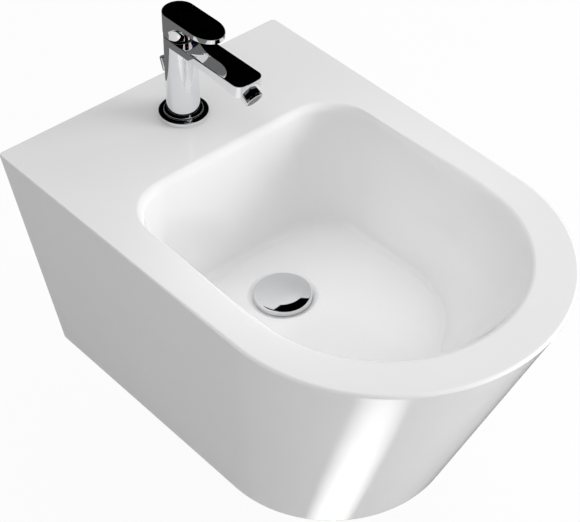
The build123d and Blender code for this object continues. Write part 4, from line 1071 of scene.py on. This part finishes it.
# %% [markdown]
# The light is plain and soft. A sky that is brighter towards the top lights the deck and the
# bowl, a large lamp low on the right models the round front, and small ones lift the bowl, the
# left side and the front. The lamps stay out of the mirrors. Chrome shows its surroundings, and
# in this studio they are dark overhead and grey around: that is why the flat tops of the lever
# and the spout look black. One bright spot straight below gives the glaze of the rounded front
# its narrow upright streak.

# %% Lamps
def softbox(name, position, target, size, power, spread=180.0):
    """An area light that looks at a point and isn't mirrored in the chrome or the glaze."""
    data = bpy.data.lights.new(name, "AREA")
    data.shape = "RECTANGLE"
    data.size, data.size_y = size
    data.energy = power
    data.spread = math.radians(spread)
    lamp = bpy.data.objects.new(name, data)
    bpy.context.scene.collection.objects.link(lamp)
    lamp.location = position
    lamp.rotation_mode = "QUATERNION"
    lamp.rotation_quaternion = (Vector(target) - Vector(position)).to_track_quat("-Z", "Y")
    lamp.visible_glossy = False
    print(name, power, "W")


softbox("key", (2.1, -2.0, 0.95), (0, -0.25, -0.1), (1.6, 1.6), 54)
softbox("fill", (-2.2, -0.8, 1.0), (0, -0.25, 0), (1.5, 1.5), 2)
softbox("bowl_light", (-0.2, -0.36, DECK + 0.5), (0.01, -0.29, 0), (0.15, 0.15), 0.055, 40)
softbox("front", (0.8, -2.3, -0.05), (0, -0.4, -0.15), (1.0, 0.4), 9)

# %% [markdown]
# The surroundings differ by who looks. The matt side of a surface gets the soft sky, a mirrored
# ray gets the dark studio, and the camera gets plain white.

# %% World
SKY_HORIZON, SKY_RISE, SKY_FULL = 0.22, 0.64, 0.8
# Grey of the studio's walls, and the heights between which it gives way to the dark above
WALL_GREY, WALL_FADE = 0.16, (0.3, 0.45)
SPOT, SPOT_EDGE = 3.5, (0.990, 0.999)

world = bpy.data.worlds.new("studio")
bpy.context.scene.world = world
board = Board(world)
to_camera = board.add("ShaderNodeLightPath", output="Is Camera Ray")
to_mirror = board.add("ShaderNodeLightPath", output="Is Glossy Ray")
direction = board.add("ShaderNodeTexCoord", output="Generated")
height = board.add("ShaderNodeSeparateXYZ", None, {"Vector": direction}, output="Z")
soft_sky = height.clamp(0.0, SKY_FULL) * SKY_RISE + SKY_HORIZON
walls = (1 - height.clamp(*WALL_FADE)) * WALL_GREY
spot = (-1 * height).clamp(*SPOT_EDGE) * SPOT
around = soft_sky * (1 - to_mirror) + (walls + spot) * to_mirror
seen = around * (1 - to_camera) + to_camera
background = board.add("ShaderNodeBackground", None, {"Color": seen, "Strength": 1.0})
board.add("ShaderNodeOutputWorld", None, {"Surface": background})
print("world of", len(world.node_tree.nodes), "nodes")

# %% [markdown]
# The floor is a wide pale sheet well below the wall-hung bidet. The camera sees it almost white,
# mixed with enough of the matt surface to keep the soft shadow of the object.

# %% Floor
FLOOR_HALF, FLOOR_LOW, FLOOR_LEVEL = 20000.0, -325.0, -320.0
FLOOR_GREY, FLOOR_GLOW = 0.8, 0.93

square = [(sx * FLOOR_HALF, sy * FLOOR_HALF) for sx, sy in [(-1, -1), (1, -1), (1, 1), (-1, 1)]]
ground = block("ground", square, FLOOR_LOW, FLOOR_LEVEL, "Z")
floor = bpy.data.objects.new("floor", ground)
bpy.context.scene.collection.objects.link(floor)
pale = bpy.data.materials.new("pale_floor")
board = Board(pale)
ray = board.add("ShaderNodeLightPath", output="Is Camera Ray")
matt = board.add("ShaderNodeBsdfDiffuse", None, {"Color": grey(FLOOR_GREY)})
bright = board.add("ShaderNodeEmission", None, {"Color": grey(1.0), "Strength": 1.0})
surface = board.add("ShaderNodeMixShader", None, {0: ray * FLOOR_GLOW, 1: matt, 2: bright})
board.add("ShaderNodeOutputMaterial", None, {"Surface": surface})
floor.data.materials.append(pale)
floor.visible_glossy = False
print("floor at", FLOOR_LEVEL * MM)

# %% [markdown]
# Last comes the plain view transform.

# %% The picture's settings
bpy.context.scene.view_settings.view_transform = "Standard"
bpy.context.view_layer.update()
